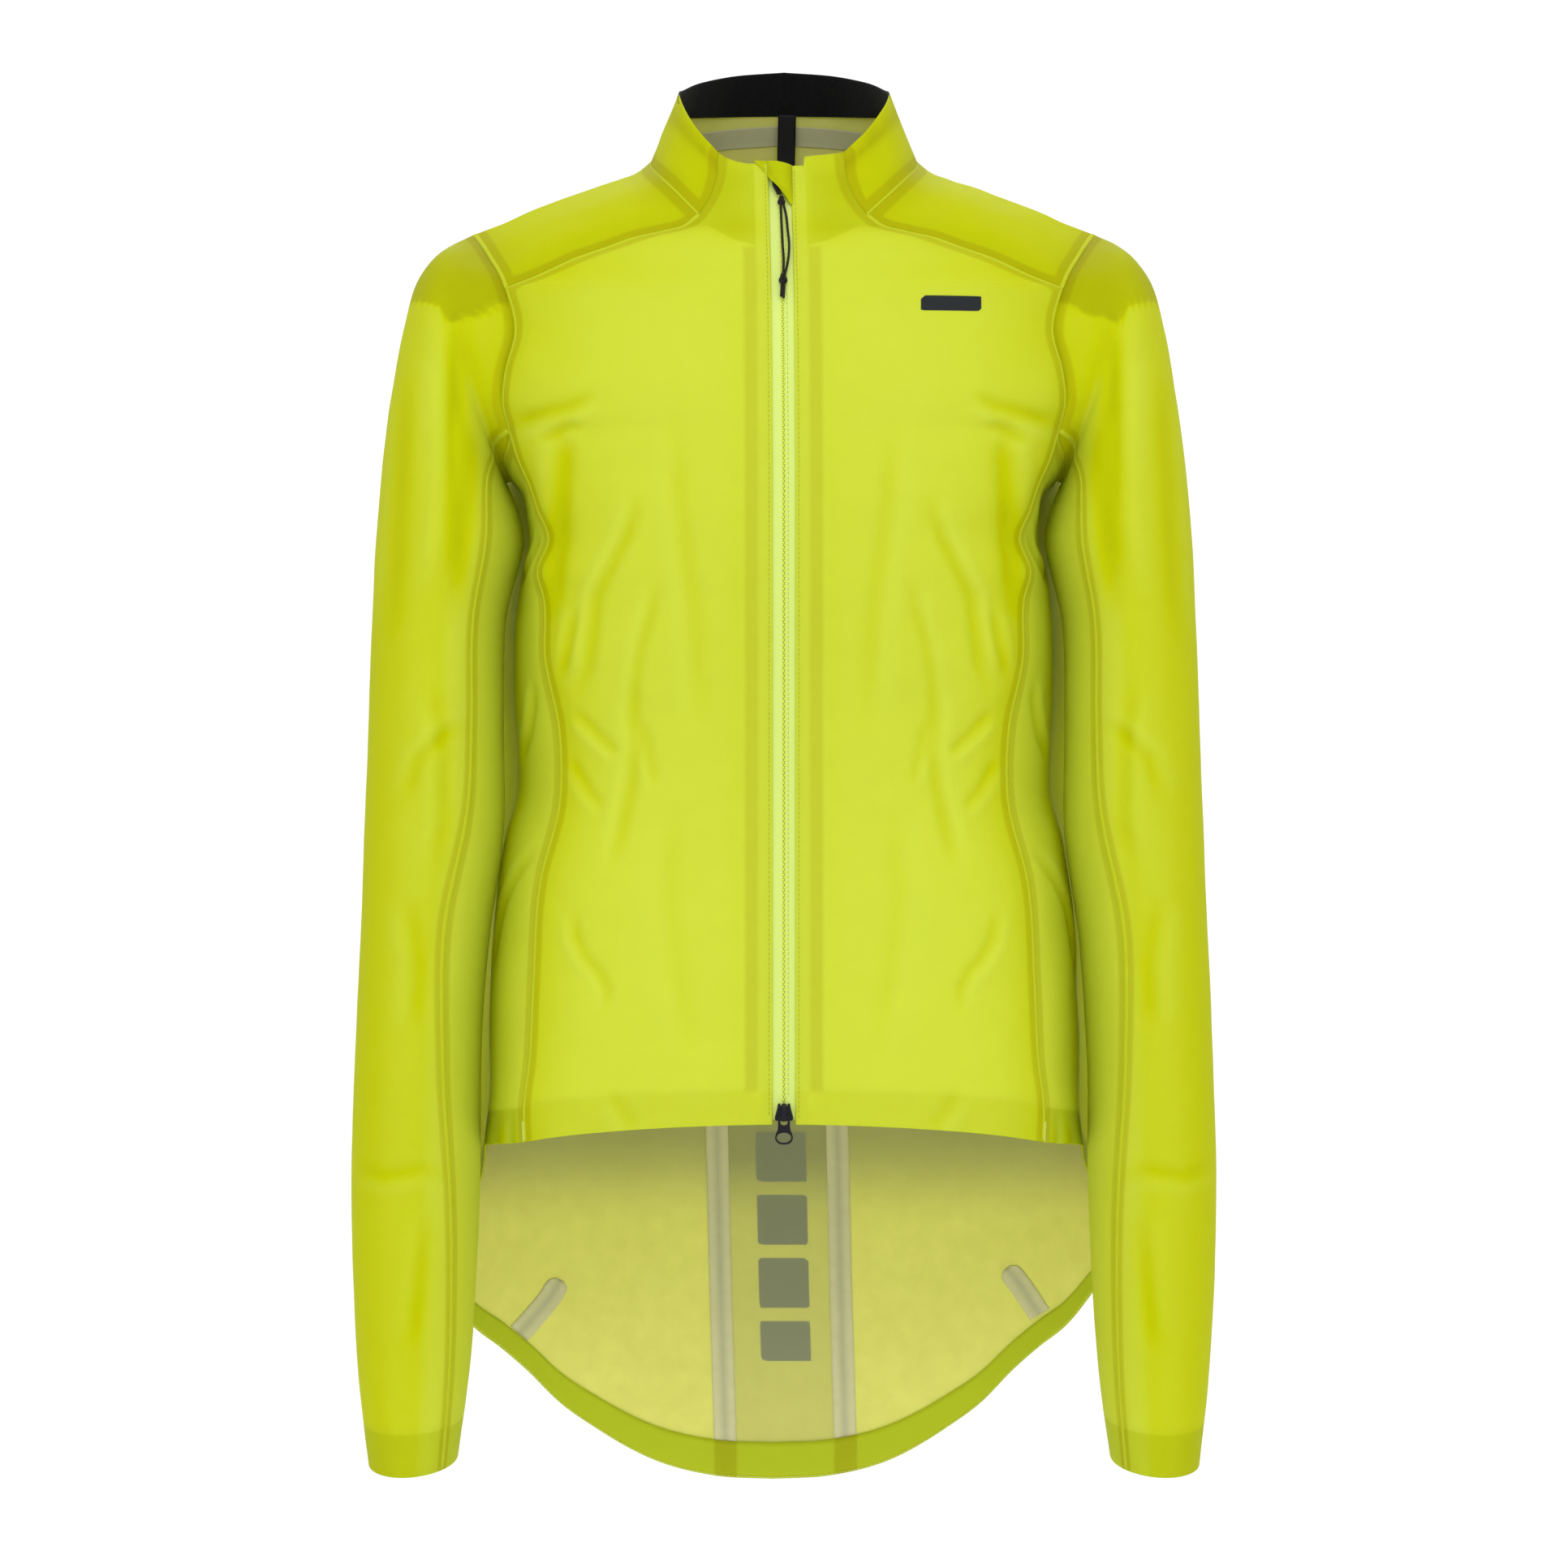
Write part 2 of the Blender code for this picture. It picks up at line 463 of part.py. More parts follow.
def whole_back():
    """The back from side seam to side seam, with its strip, as if it had no seams."""
    halves = []
    for side in ("right", "left"):
        outer = back_rows(BACK_STATIONS, side)
        halves.append(np.concatenate([outer[:, :-1], back_rows(STRIP_STATIONS, side)], axis=1))
    right, left = halves[0], mirrored(halves[1])[:, ::-1]
    right[:, -1] = (right[:, -1] + left[:, 0]) / 2
    return np.concatenate([right, left[:, 1:]], axis=1)


def back_strip_grid():
    middle = slice(len(BACK_STATIONS) - 1, -(len(BACK_STATIONS) - 1))
    return trimmed(whole_back()[:, middle], top=HALF_GAP, first=HALF_GAP, last=HALF_GAP)


def both_halves(half):
    """The right half's columns, then the left's, with the shared one at the centre back."""
    half = half.copy()
    half[-1, :, 0] = 0
    return np.concatenate([half, mirrored(half)[-2::-1]], axis=0)


def yoke_grid():
    """One piece over both shoulders and round the back of the neck. Rows run from the neck outwards."""
    u, v = np.meshgrid(NECK_STATIONS, YOKE_SHARES, indexing="ij")
    half = trimmed(yoke(u, v), top=HALF_GAP, first=HALF_GAP)
    return trimmed(both_halves(half), first=0.35, last=HALF_GAP).swapaxes(0, 1)


def collar_grid():
    """The collar from one front seam round the back to the other. Rows run from its top edge down."""
    u, v = np.meshgrid(NECK_STATIONS, COLLAR_SHARES, indexing="ij")
    return trimmed(both_halves(collar(u, v)), top=0.35, bottom=0.35).swapaxes(0, 1)[::-1]


def lining_grid():
    """The brushed lining inside the upper part of the collar."""
    u, share = np.meshgrid(LINING_STATIONS, (0, 0.5, 1), indexing="ij")
    low = on_curve(LINING_LOW, u)[..., 0]
    grid = both_halves(collar(u, low + share * (LINING_TOP - low))).swapaxes(0, 1)
    return inwards(grid, LAYER)


def neck_tape_grid():
    """The tape over the neck seam: a strip on the yoke, then one on the collar."""
    u = np.array(LINING_STATIONS)
    below, between, above = NECK_TAPE
    rows = [yoke(u, below + 0 * u), *(collar(u, share + 0 * u) for share in (0, between, above))]
    return inwards(both_halves(np.stack(rows, axis=1)).swapaxes(0, 1), BENT_LAYER)


def label_grid():
    """The label that hangs from the lining over the neck tape, a little aslant."""
    drop, depth = np.array(LABEL_FALL).T
    middle = np.interp(drop, (drop[0], drop[-1]), LABEL_LEAN)
    return np.stack([np.stack([middle + at * LABEL_WIDTH, depth, drop], -1) for at in (-0.5, 0.5)], axis=1)


def tail_hem_grid():
    """The turned-up hem inside the tail."""
    return trimmed(inwards(whole_back(), LAYER)[-2:], first=2, last=2, bottom=HALF_GAP)


def back_tape_grid(side):
    """The tape over a seam of the back's strip, from the yoke down to the hem band."""
    seam = STRIP_HALF * {"right": -1, "left": 1}[side]
    back = whole_back()
    rows = []
    for row in back[:-1]:
        at = seam + SEAM_TAPE * np.array([-0.5, 0.5])
        rows.append(np.stack([at, *(np.interp(at, row[:, 0], row[:, k]) for k in (1, 2))], -1))
    return trimmed(inwards(np.stack(rows), LAYER), bottom=0.6)


def dart_tape_grid(side):
    """The tape over a dart that shapes the tail."""
    line = np.array({"right": DART_RIGHT, "left": DART_LEFT}[side], float)
    along = np.gradient(line, axis=0)
    aside = np.stack([-along[:, 1], along[:, 0]], -1) / np.linalg.norm(along, axis=-1, keepdims=True)
    flat = np.stack([line + aside * SEAM_TAPE * at for at in (-0.5, 0, 0.5)], axis=1)
    return inwards(on_panel(whole_back(), flat[..., 0], flat[..., 1]), LAYER)


def zip_strip_grid(side, inner, outer, top, bottom):
    """A strip inside the edge of a front, from drop to drop."""
    front = front_grid(side)
    turned = {"right": -1, "left": 1}[side]
    levels = front[:, 0, 2]
    levels = levels[(levels > top + 3) & (levels < bottom - 3)]
    at, drop = np.meshgrid((inner, outer), (top, *levels, bottom))
    return on_panel(front, turned * at, drop) + (0, LAYER, 0)


def zip_depth(drop):
    """y of the fronts' surface along the zip."""
    edge = front_grid("right")[:, 0]
    return np.interp(drop, edge[:, 2], edge[:, 1])


def facing_grid(side):
    """The facing inside a collar front, from the zip to the collar seam."""
    front = front_grid(side)
    turned = {"right": -1, "left": 1}[side]
    width, low = np.array(FACING_LOW).T
    seam = -collar_seam(1.0)[0] - FACING_INSET
    top_width = np.interp(width, (width[0], width[-1]), (width[0], seam))
    share = np.linspace(0, 1, 7)[:, None]
    at = top_width + share * (width - top_width)
    drop = FACING_TOP + share * (low - FACING_TOP)
    return inwards(on_panel(front, turned * at, drop), BENT_LAYER)


def garage_grid():
    """The flap over the zip's top end. It is sewn to the left front, and its free edge runs aslant."""
    drop, free, off = np.array(GARAGE).T
    share = np.array([0, 0.25, 0.5, 0.75, 1])
    at = free[:, None] + share * (GARAGE_SEWN - free)[:, None]
    drop = drop[:, None] + GARAGE_TILT * share ** 2 * np.linspace(1, 0, len(drop))[:, None]
    arch = np.sqrt(np.sin(math.pi * np.clip((GARAGE_SEWN - at) / (2 * GARAGE_SEWN), 0, 1)))
    lift = 1.5 + (off[:, None] - 1.5) * arch
    under = on_panel(front_grid("right"), -np.maximum(np.abs(at), ZIP_HALF), drop)
    return np.stack([at, under[..., 1] - lift, under[..., 2]], -1)


def sleeve_grid(side):
    """Rings from the armhole to the cuff. Each runs from its outer side by the front to its inner side."""
    seams = YOKE_TURNS + FRONT_TURNS + SIDE_TURNS + BACK_TURNS
    turns = np.array(sorted({turn % 360 for turn in seams}), float)
    angle = np.radians(turns)[:, None]
    rings = [armhole(turns)]
    for outer_x, outer_drop, inner_x, inner_drop, middle_y, half_depth in SLEEVE:
        outer = np.array([-outer_x, middle_y, outer_drop])
        inner = np.array([-inner_x, middle_y, inner_drop])
        rings.append((outer + inner) / 2 + np.cos(angle) * (outer - inner) / 2
                     - np.sin(angle) * np.array([0, half_depth, 0]))
    grid = np.stack(rings)
    grid[-1, :, 2] += CUFF_DIP * np.clip(np.sin(angle[:, 0]), 0, 1)
    away = HALF_GAP + 0.9 * (1 - np.cos(angle[:, 0])) / 2
    grid = trimmed(grid, top=away)
    return grid if side == "right" else mirrored(grid)


# Hardware

def hidden(name, mesh, parent):
    """A helper that shapes another object and isn't a piece itself."""
    made = bpy.data.objects.new(name, mesh)
    helpers.objects.link(made)
    made.parent = parent
    made.hide_render = True
    made.display_type = "WIRE"
    return made


def block(name, low, high):
    """A box between two corners, in millimetres."""
    low, high = np.array(low, float), np.array(high, float)
    shape = bmesh.new()
    bmesh.ops.create_cube(shape, size=1.0)
    bmesh.ops.scale(shape, vec=(high - low) * MM, verts=shape.verts)
    bmesh.ops.translate(shape, vec=(low + high) / 2 * MM, verts=shape.verts)
    mesh = bpy.data.meshes.new(name)
    shape.to_mesh(mesh)
    shape.free()
    return mesh


def outline_curve(name, loops, half_thick):
    """A flat curve, filled between its loops of (x, z) millimetres, and as thick as twice half_thick."""
    curve = bpy.data.curves.new(name, "CURVE")
    curve.dimensions = "2D"
    curve.fill_mode = "BOTH"
    curve.extrude = half_thick * MM
    for loop in loops:
        line = curve.splines.new("POLY")
        line.points.add(len(loop) - 1)
        line.use_cyclic_u = True
        for point, (across, up) in zip(line.points, loop):
            point.co = (across * MM, up * MM, 0, 1)
    return curve


def both_sides(side):
    """A closed outline from its right side, top down."""
    left = [(-across, up) for across, up in reversed(side) if across > 0]
    return [*side, *left]


def as_mesh(curve, name):
    """The curve as one closed mesh, standing in the plane of x and z."""
    holder = bpy.data.objects.new(name, curve)
    helpers.objects.link(holder)
    graph = bpy.context.evaluated_depsgraph_get()
    mesh = bpy.data.meshes.new_from_object(holder.evaluated_get(graph))
    bpy.data.objects.remove(holder)
    shape = bmesh.new()
    shape.from_mesh(mesh)
    bmesh.ops.remove_doubles(shape, verts=shape.verts, dist=1e-6)
    bmesh.ops.rotate(shape, matrix=Matrix.Rotation(math.pi / 2, 3, "X"), verts=shape.verts)
    bmesh.ops.recalc_face_normals(shape, faces=shape.faces)
    shape.to_mesh(mesh)
    shape.free()
    mesh.materials.clear()
    return mesh


def zip_slider(name, drop, turn, lean):
    """A slider: two plates joined by a neck through the zip, and a bridge on the front for its puller. It is
    turned about y, so that its wide end is up, and leans about x, as the fronts do."""
    depth = zip_depth(drop)
    sway = np.interp(drop, *zip(*ZIP_SWAY))
    side = both_sides(SLIDER_SIDE)

    def plate(called, front, back):
        mesh = as_mesh(outline_curve(called, [side], (back - front) / 2), called)
        mesh.transform(Matrix.Translation((0, (front + back) / 2 * MM, 0)))
        return mesh

    made = add(name, plate(name, *SLIDER_FRONT), black_metal)
    (low, mid_low), (mid_high, high) = BRIDGE_LEGS
    front, under = BRIDGE_FRONT
    foot = SLIDER_FRONT[0] + 0.3
    shapes = {
        "neck": block("neck", (-SLIDER_NECK, -0.7, -3.6), (SLIDER_NECK, SLIDER_BACK[0] + 0.2, 3.6)),
        "back": plate("back", *SLIDER_BACK),
        "lower_leg": block("lower_leg", (-BRIDGE_HALF, front, low), (BRIDGE_HALF, foot, mid_low)),
        "upper_leg": block("upper_leg", (-BRIDGE_HALF, front, mid_high), (BRIDGE_HALF, foot, high)),
        "bridge": block("bridge", (-BRIDGE_HALF, front, mid_low - 0.2), (BRIDGE_HALF, under, mid_high + 0.2)),
    }
    for called, mesh in shapes.items():
        union = made.modifiers.new(called, "BOOLEAN")
        union.operation = "UNION"
        union.object = hidden(f"{name}_{called}", mesh, made)
    made.location = (sway * MM, depth * MM, -drop * MM)
    made.rotation_euler = (math.radians(lean), math.radians(turn), 0)


def pull_tab(drop):
    """The pull tab of the slider at this drop, hanging from its bar under the bridge. Its origin is on its
    hinge."""
    half_width, half_height, height = TAB_EYE
    eye = [(half_width * math.cos(turn), height + half_height * math.sin(turn))
           for turn in np.linspace(0, 2 * math.pi, 20, endpoint=False)]
    slot = both_sides(TAB_SLOT)
    mesh = as_mesh(outline_curve("pull_tab", [both_sides(TAB_SIDE), slot, eye], TAB_THICK / 2), "pull_tab")
    made = add("pull_tab", mesh, black_metal)
    made.location = (0, (zip_depth(drop) + HINGE_DEPTH) * MM, (HINGE_HEIGHT - drop) * MM)


def cord_point(x, drop, depth):
    """A point in front of the zip, in metres."""
    return x * MM, (zip_depth(drop) + depth) * MM, -drop * MM


def cord(name, route, diameter=CORD, steps=4, depth=CORD_DEPTH):
    """A length of cord on the smooth curve through its route."""
    across, drop = np.array(route, float).T
    fine = np.linspace(drop[0], drop[-1], steps)
    smooth = on_curve(list(zip(drop, across)), fine)[:, 0]
    depths = np.linspace(depth, CORD_DEPTH, steps)
    curve = bpy.data.curves.new(name, "CURVE")
    curve.dimensions = "3D"
    curve.bevel_depth = diameter / 2 * MM
    curve.bevel_resolution = 2
    curve.use_fill_caps = True
    line = curve.splines.new("POLY")
    line.points.add(steps - 1)
    for point, *place in zip(line.points, smooth, fine, depths):
        point.co = (*cord_point(*place), 1)
    curve.materials.append(black_cord)
    jacket.objects.link(bpy.data.objects.new(name, curve))


def knot(name, x, drop, radius, half_height):
    shape = bmesh.new()
    bmesh.ops.create_icosphere(shape, subdivisions=2, radius=1.0)
    bmesh.ops.scale(shape, vec=(radius * MM, 0.8 * radius * MM, half_height * MM), verts=shape.verts)
    mesh = bpy.data.meshes.new(name)
    shape.to_mesh(mesh)
    shape.free()
    mesh.shade_smooth()
    add(name, mesh, black_cord).location = cord_point(x, drop, CORD_DEPTH)


clear_scene()
jacket = bpy.data.collections.new("waterproof_jacket")
helpers = bpy.data.collections.new("helpers")
for group in (jacket, helpers):
    bpy.context.scene.collection.children.link(group)
yellow = material("coated_nylon_yellow", 0.62, 0.72, 0.01, 0.5)
grey_tape = material("seam_tape_grey", 0.45, 0.45, 0.3, 0.6)
black_knit = material("brushed_knit_black", 0.01, 0.01, 0.012, 0.9)
black_satin = material("woven_label_black", 0.012, 0.012, 0.014, 0.6)
lime_zip = material("zip_tape_lime", 0.6, 0.82, 0.14, 0.6)
lime_coil = material("nylon_coil_lime", 0.5, 0.62, 0.08, 0.4)
black_metal = material("zip_slider_black", 0.012, 0.012, 0.016, 0.35, 0.6)
black_cord = material("braided_cord_black", 0.015, 0.012, 0.01, 0.7)

for side in ("right", "left"):
    cloth("front_" + side, front_grid(side), yellow)
    cloth("side_" + side, side_grid(side), yellow)
    cloth("back_" + side, back_side_grid(side), yellow)
    cloth("sleeve_" + side, sleeve_grid(side), yellow, closed=True)
    cloth("facing_" + side, facing_grid(side), yellow)
    cloth("back_tape_" + side, back_tape_grid(side), grey_tape)
    cloth("dart_tape_" + side, dart_tape_grid(side), grey_tape)
    cloth("zip_tape_" + side, zip_strip_grid(side, *ZIP_TAPE, *ZIP_TAPE_DROPS), lime_zip)
    cloth("placket_tape_" + side, zip_strip_grid(side, *PLACKET, *PLACKET_DROPS), grey_tape)
cloth("back_centre", back_strip_grid(), yellow)
cloth("tail_hem", tail_hem_grid(), yellow)
cloth("yoke", yoke_grid(), yellow)
cloth("collar", collar_grid(), yellow)
cloth("collar_lining", lining_grid(), black_knit)
cloth("neck_tape", neck_tape_grid(), grey_tape)
cloth("neck_label", label_grid(), black_satin)
cloth("zip_garage", garage_grid(), yellow)
coil = zip_strip_grid("right", -COIL_HALF, COIL_HALF, *COIL_DROPS)
cloth("zip_coil", coil, lime_coil, thick=COIL_DEPTH)
zip_slider("slider_bottom", BOTTOM_SLIDER_DROP, 0, 0)
zip_slider("slider_top", TOP_SLIDER_DROP, 180, TOP_SLIDER_LEAN)
pull_tab(BOTTOM_SLIDER_DROP)
cord("cord_loop", CORD_LOOP, PAIR, steps=6, depth=LOOP_DEPTH)
knot("cord_knot_upper", *UPPER_KNOT)
cord("cord_strand_right", STRAND_RIGHT, steps=16)
cord("cord_strand_left", STRAND_LEFT, steps=16)
knot("cord_knot_lower", *LOWER_KNOT)
cord("cord_end", CORD_END, PAIR)
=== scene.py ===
"""A light waterproof cycling jacket, filled out as worn and photographed from the front.

Metres, +Z up, the front faces -Y and +X is the wearer's left. Tables are in millimetres: the drop is
counted down from where the jacket bears on the shoulders, and half widths from its middle, outwards.
"""
import math

import bmesh
import bpy
import numpy as np
from mathutils import Matrix, Vector, kdtree, noise


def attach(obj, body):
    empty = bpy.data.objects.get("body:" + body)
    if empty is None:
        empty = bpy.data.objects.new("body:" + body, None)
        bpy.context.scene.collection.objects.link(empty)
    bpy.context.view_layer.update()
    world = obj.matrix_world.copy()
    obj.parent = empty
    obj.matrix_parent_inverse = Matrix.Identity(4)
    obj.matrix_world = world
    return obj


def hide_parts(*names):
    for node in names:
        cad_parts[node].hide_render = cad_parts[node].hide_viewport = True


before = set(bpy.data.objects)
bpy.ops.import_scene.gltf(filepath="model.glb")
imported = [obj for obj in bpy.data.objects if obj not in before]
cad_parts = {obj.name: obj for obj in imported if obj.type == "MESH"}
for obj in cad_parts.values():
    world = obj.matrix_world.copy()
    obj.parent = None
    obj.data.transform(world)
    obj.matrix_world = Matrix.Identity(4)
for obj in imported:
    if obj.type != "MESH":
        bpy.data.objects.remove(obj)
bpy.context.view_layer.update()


# Studio. A white room with a large softbox above and in front, so that the cloth is lit evenly and only its
# creases shade. The camera is level with the middle of the jacket, with a long lens.

MM = 0.001
CAMERA_Y, CAMERA_Z = -3.5, -0.358
FRAME_WIDTH = 0.908  # what the photograph shows at the depth of the neck
SENSOR = 36.0


def linear(hex_colour):
    """An sRGB hex value as linear red, green, blue and 1."""
    parts = [int(hex_colour[i:i + 2], 16) / 255 for i in (0, 2, 4)]
    return (*(c / 12.92 if c <= 0.04045 else ((c + 0.055) / 1.055) ** 2.4 for c in parts), 1.0)


def node(tree, kind, settings=None, sockets=None):
    """Adds a node. A socket is set to a value, or linked where the value is another node's output."""
    made = tree.nodes.new(kind)
    for name, value in (settings or {}).items():
        setattr(made, name, value)
    for name, value in (sockets or {}).items():
        if isinstance(value, bpy.types.NodeSocket):
            tree.links.new(value, made.inputs[name])
        else:
            made.inputs[name].default_value = value
    return made


scene = bpy.context.scene
scene.view_settings.view_transform = "Standard"
lens = bpy.data.cameras.new("studio_camera")
lens.sensor_width = SENSOR
lens.lens = SENSOR * -CAMERA_Y / FRAME_WIDTH
camera = bpy.data.objects.new("studio_camera", lens)
camera.location = (0, CAMERA_Y, CAMERA_Z)
camera.rotation_euler = (math.pi / 2, 0, 0)
scene.collection.objects.link(camera)
scene.camera = camera

room = bpy.data.worlds.new("white_room")
room.use_nodes = True
room.node_tree.nodes["Background"].inputs["Color"].default_value = (1, 1, 1, 1)
room.node_tree.nodes["Background"].inputs["Strength"].default_value = 1.06
scene.world = room

# name, watts, side of its square in metres, place
SOFTBOXES = [("softbox_front", 44, 2.4, (0, -2.6, 1.9)), ("softbox_back", 36, 2.4, (0, 2.6, 1.9))]
for name, watts, side_length, place in SOFTBOXES:
    lamp = bpy.data.lights.new(name, "AREA")
    lamp.energy = watts
    lamp.size = side_length
    softbox = bpy.data.objects.new(name, lamp)
    softbox.location = place
    softbox.rotation_euler = (Vector((0, 0, CAMERA_Z)) - Vector(place)).to_track_quat("-Z", "Y").to_euler()
    scene.collection.objects.link(softbox)

FLOOR_DROP, FLOOR_RADIUS = 1.45, 4.0  # a standing wearer's shoulder height
shape = bmesh.new()
bmesh.ops.create_circle(shape, cap_ends=True, segments=96, radius=FLOOR_RADIUS)
floor_mesh = bpy.data.meshes.new("studio_floor")
shape.to_mesh(floor_mesh)
shape.free()
floor = bpy.data.objects.new("studio_floor", floor_mesh)
floor.location = (0, 0, -FLOOR_DROP)
scene.collection.objects.link(floor)
floor_paint = bpy.data.materials.new("matt_white_floor_paint")
floor_paint.use_nodes = True
tree = floor_paint.node_tree
grain = node(tree, "ShaderNodeTexNoise", None, {"Scale": 60.0})
bump = node(tree, "ShaderNodeBump", None,
            {"Strength": 0.05, "Distance": 0.002, "Height": grain.outputs["Fac"]})
paint = tree.nodes["Principled BSDF"]
paint.inputs["Base Color"].default_value = linear("F6F6F4")
paint.inputs["Roughness"].default_value = 0.8
tree.links.new(bump.outputs["Normal"], paint.inputs["Normal"])
floor_mesh.materials.append(floor_paint)


# Fronts. Each is cut in one with its half of the collar front, from the coated cloth: a nylon face with a
# thin waterproof film inside, which lets light through. They are sewn to yoke, sleeve, side and collar, and
# folded in at the zip. What lies behind the cloth shows through it as darker bands.

CLOTH = 0.4  # thickness of the cloth with its film
ZIP_HALF = 7.0
PLACKET = (14.4, 21.8)
PLACKET_DROPS = (55.2, 530)
STRIP_HALF = 36.0
SIDE_Y = -20.0
INNER_ARM_Y, INNER_ARM_OUT = 15.0, 2.0
FRONT_HEM = 548.0
FRONT_TURN_UP = 19.0
TAPE_HALF = 6.3  # half the width of a taped seam's band
ZIP_FOLD = 5.5  # how much of each front is folded back at the zip
CHEST_BAR, BAR_ROUNDING = (79, 109, 85, 89.6), 2.0  # first and last x, top and bottom drop of the printed bar
SIDES = (("right", -1), ("left", 1))  # the wearer's, and which way each lies
# What the cloth's finishes read at each point: how deep its colour is, which holds painted shade and painted
# light, and the signed distances to the edges of what shows through it or is printed on it, less than 0
# inside.
NOWHERE = 9.0
PLAIN = {"tone": 0.0, "taped": NOWHERE, "lined": NOWHERE, "doubled": NOWHERE, "printed": NOWHERE}

# drop, depth of the surface at the zip
FRONT_Y = [(-6, -71), (5, -76), (28, -87), (50, -95), (75, -102), (100, -108), (150, -117), (200, -121),
           (250, -119), (310, -112), (360, -109), (400, -110), (450, -114), (500, -117), (560, -120)]
# drop, half width at the side, a little in front of the middle
SIDE_X = [(-6, 60), (15, 72), (35, 105), (50, 150), (76, 182), (110, 184), (145, 180), (170, 166),
          (182, 158), (190, 151), (205, 147), (218, 146), (237, 150.5), (262, 154), (300, 155), (340, 153),
          (362, 152.5), (390, 159.5), (417, 163.5), (441, 166), (492, 168.6), (543, 169.5), (566, 172),
          (620, 178), (720, 184)]
# drop, half width, depth of the seam between side and back
FLANK = [(166, 160, 50), (187, 162, 52), (213, 160, 55), (240, 162, 58), (270, 166, 60), (310, 169, 62),
         (360, 167, 62), (390, 170, 62), (420, 173, 62), (480, 178, 63), (560, 186, 66), (610, 191, 70),
         (660, 194, 74), (720, 196, 78)]
# drop, depth of the back at its middle strip
SPINE_Y = [(-24, 92), (0, 96), (45, 102), (90, 107), (150, 113), (200, 112), (300, 100), (360, 96),
           (430, 100), (500, 108), (600, 118), (700, 124), (780, 127)]
# turn round the armhole from its top by the front, half width, depth, drop
ARMHOLE = [(0, 179, 3, 39.5), (25, 169.5, -30, 54.5), (50, 158.2, -60, 75.9), (66, 152.5, -68, 99),
           (84, 158, -71, 124), (100, 159.6, -70, 142), (115, 156, -66, 157.5), (145, 160, -45, 173),
           (180, 158, 0, 182), (225, 160, 50, 166), (250, 162, 65, 145), (272, 164, 70, 120),
           (300, 167, 65, 88), (330, 173, 41, 58), (360, 179, 3, 39.5)]
# drop, half width, depth of the seam between the collar front and the collar
COLLAR_SEAM = [(-2, 35.8, -56), (14.4, 37.2, -64.5), (26, 41.5, -70), (35, 47.6, -72)]
# half width, depth, drop of the seam between front and yoke
YOKE_SEAM = [(47.6, -72, 35), (54.5, -72.5, 40.5), (67.4, -73, 44.4), (86.3, -73, 48.8), (97.8, -72.5, 53),
             (118.1, -70.5, 59.9), (139.5, -66.5, 69.3), (158.2, -60, 75.9)]
# drop, half width, depth of the seam between front and side
SIDE_SEAM = [(157.5, 156, -66), (175, 150.5, -68), (188, 144.5, -70), (203, 139.5, -72), (218, 133.5, -75),
             (238, 140, -70), (252, 136.5, -72), (287, 135.5, -72), (327, 127.6, -74), (368, 127.2, -75),
             (413, 138, -77), (474, 142, -81), (515, 144, -83), (541, 147, -83), (560, 146.5, -84)]
# half width, drop of the fronts' top edges; the left one has a step beside the flap
TOP_EDGE = {"right": [(7, 6.2), (18.4, 6.0), (24, 4.2), (27.4, 2.9), (31, 1.2), (35.8, -2)],
            "left": [(7, 7.9), (13.6, 7.4), (14.3, 2.0), (20, 1.0), (28, -0.4), (35.8, -2)]}
# drop, sideways shift of the closed zip and of the tail's middle strip, which hang a little askew
ZIP_SWAY = [(-5, -2.7), (20, -2.3), (48, -1.5), (80, -0.8), (120, -0.35), (180, 0)]
TAIL_LEAN = [(400, 0), (560, -4.3), (660, -2), (760, 1)]
SWAY_FADES, LEAN_FADES = (22, 60), (50, 150)
# half width, drop of the lower edge of the facing inside a collar front
FACING_LOW = [(15.5, 54.3), (20, 53.2), (25, 51.7), (30, 49.6), (34, 47.5), (38.5, 45), (43, 42.5)]


def on_curve(rows, keys):
    """Values of the smooth curve through rows of (key, value, ...), where key is each of keys."""
    rows = np.array(rows, float)
    known, values = rows[:, 0], rows[:, 1:]
    keys = np.asarray(keys, float)
    gaps = np.diff(known)[:, None]
    rise = np.diff(values, axis=0) / gaps
    inner = (rise[:-1] * gaps[1:] + rise[1:] * gaps[:-1]) / (gaps[1:] + gaps[:-1])
    slope = np.vstack([rise[:1], inner, rise[-1:]])
    i = np.clip(np.searchsorted(known, keys) - 1, 0, len(known) - 2)
    gap = gaps[i]
    t = (keys - known[i])[..., None] / gap
    return ((1 + 2 * t) * (1 - t) ** 2 * values[i] + t * (1 - t) ** 2 * gap * slope[i]
            + t ** 2 * (3 - 2 * t) * values[i + 1] - t ** 2 * (1 - t) * gap * slope[i + 1])


def armhole(turns):
    """Points (x, y, drop) of the right armhole, for turns in degrees."""
    return on_curve(ARMHOLE, np.asarray(turns, float) % 360) * (-1, 1, 1)


def seam_between(rows, keys, key_last):
    """Points (x, y, drop) of a seam on the right. Its key is the drop or, with key_last, the half width."""
    keys = np.asarray(keys, float)
    values = on_curve(rows, keys)
    if key_last:
        return np.stack([-keys, values[..., 0], values[..., 1]], -1)
    return np.stack([-values[..., 0], values[..., 1], keys], -1)


def collar_seam(shares):
    """Points of the seam between a front and the collar, from the collar's foot up."""
    return seam_between(COLLAR_SEAM, np.interp(shares, (0, 1), (35.0, -2.0)), False)


def yoke_seam(shares):
    """Points of the seam between a front and the yoke, from the collar's foot to the armhole."""
    return seam_between(YOKE_SEAM, np.interp(shares, (0, 1), (47.6, 158.2)), True)


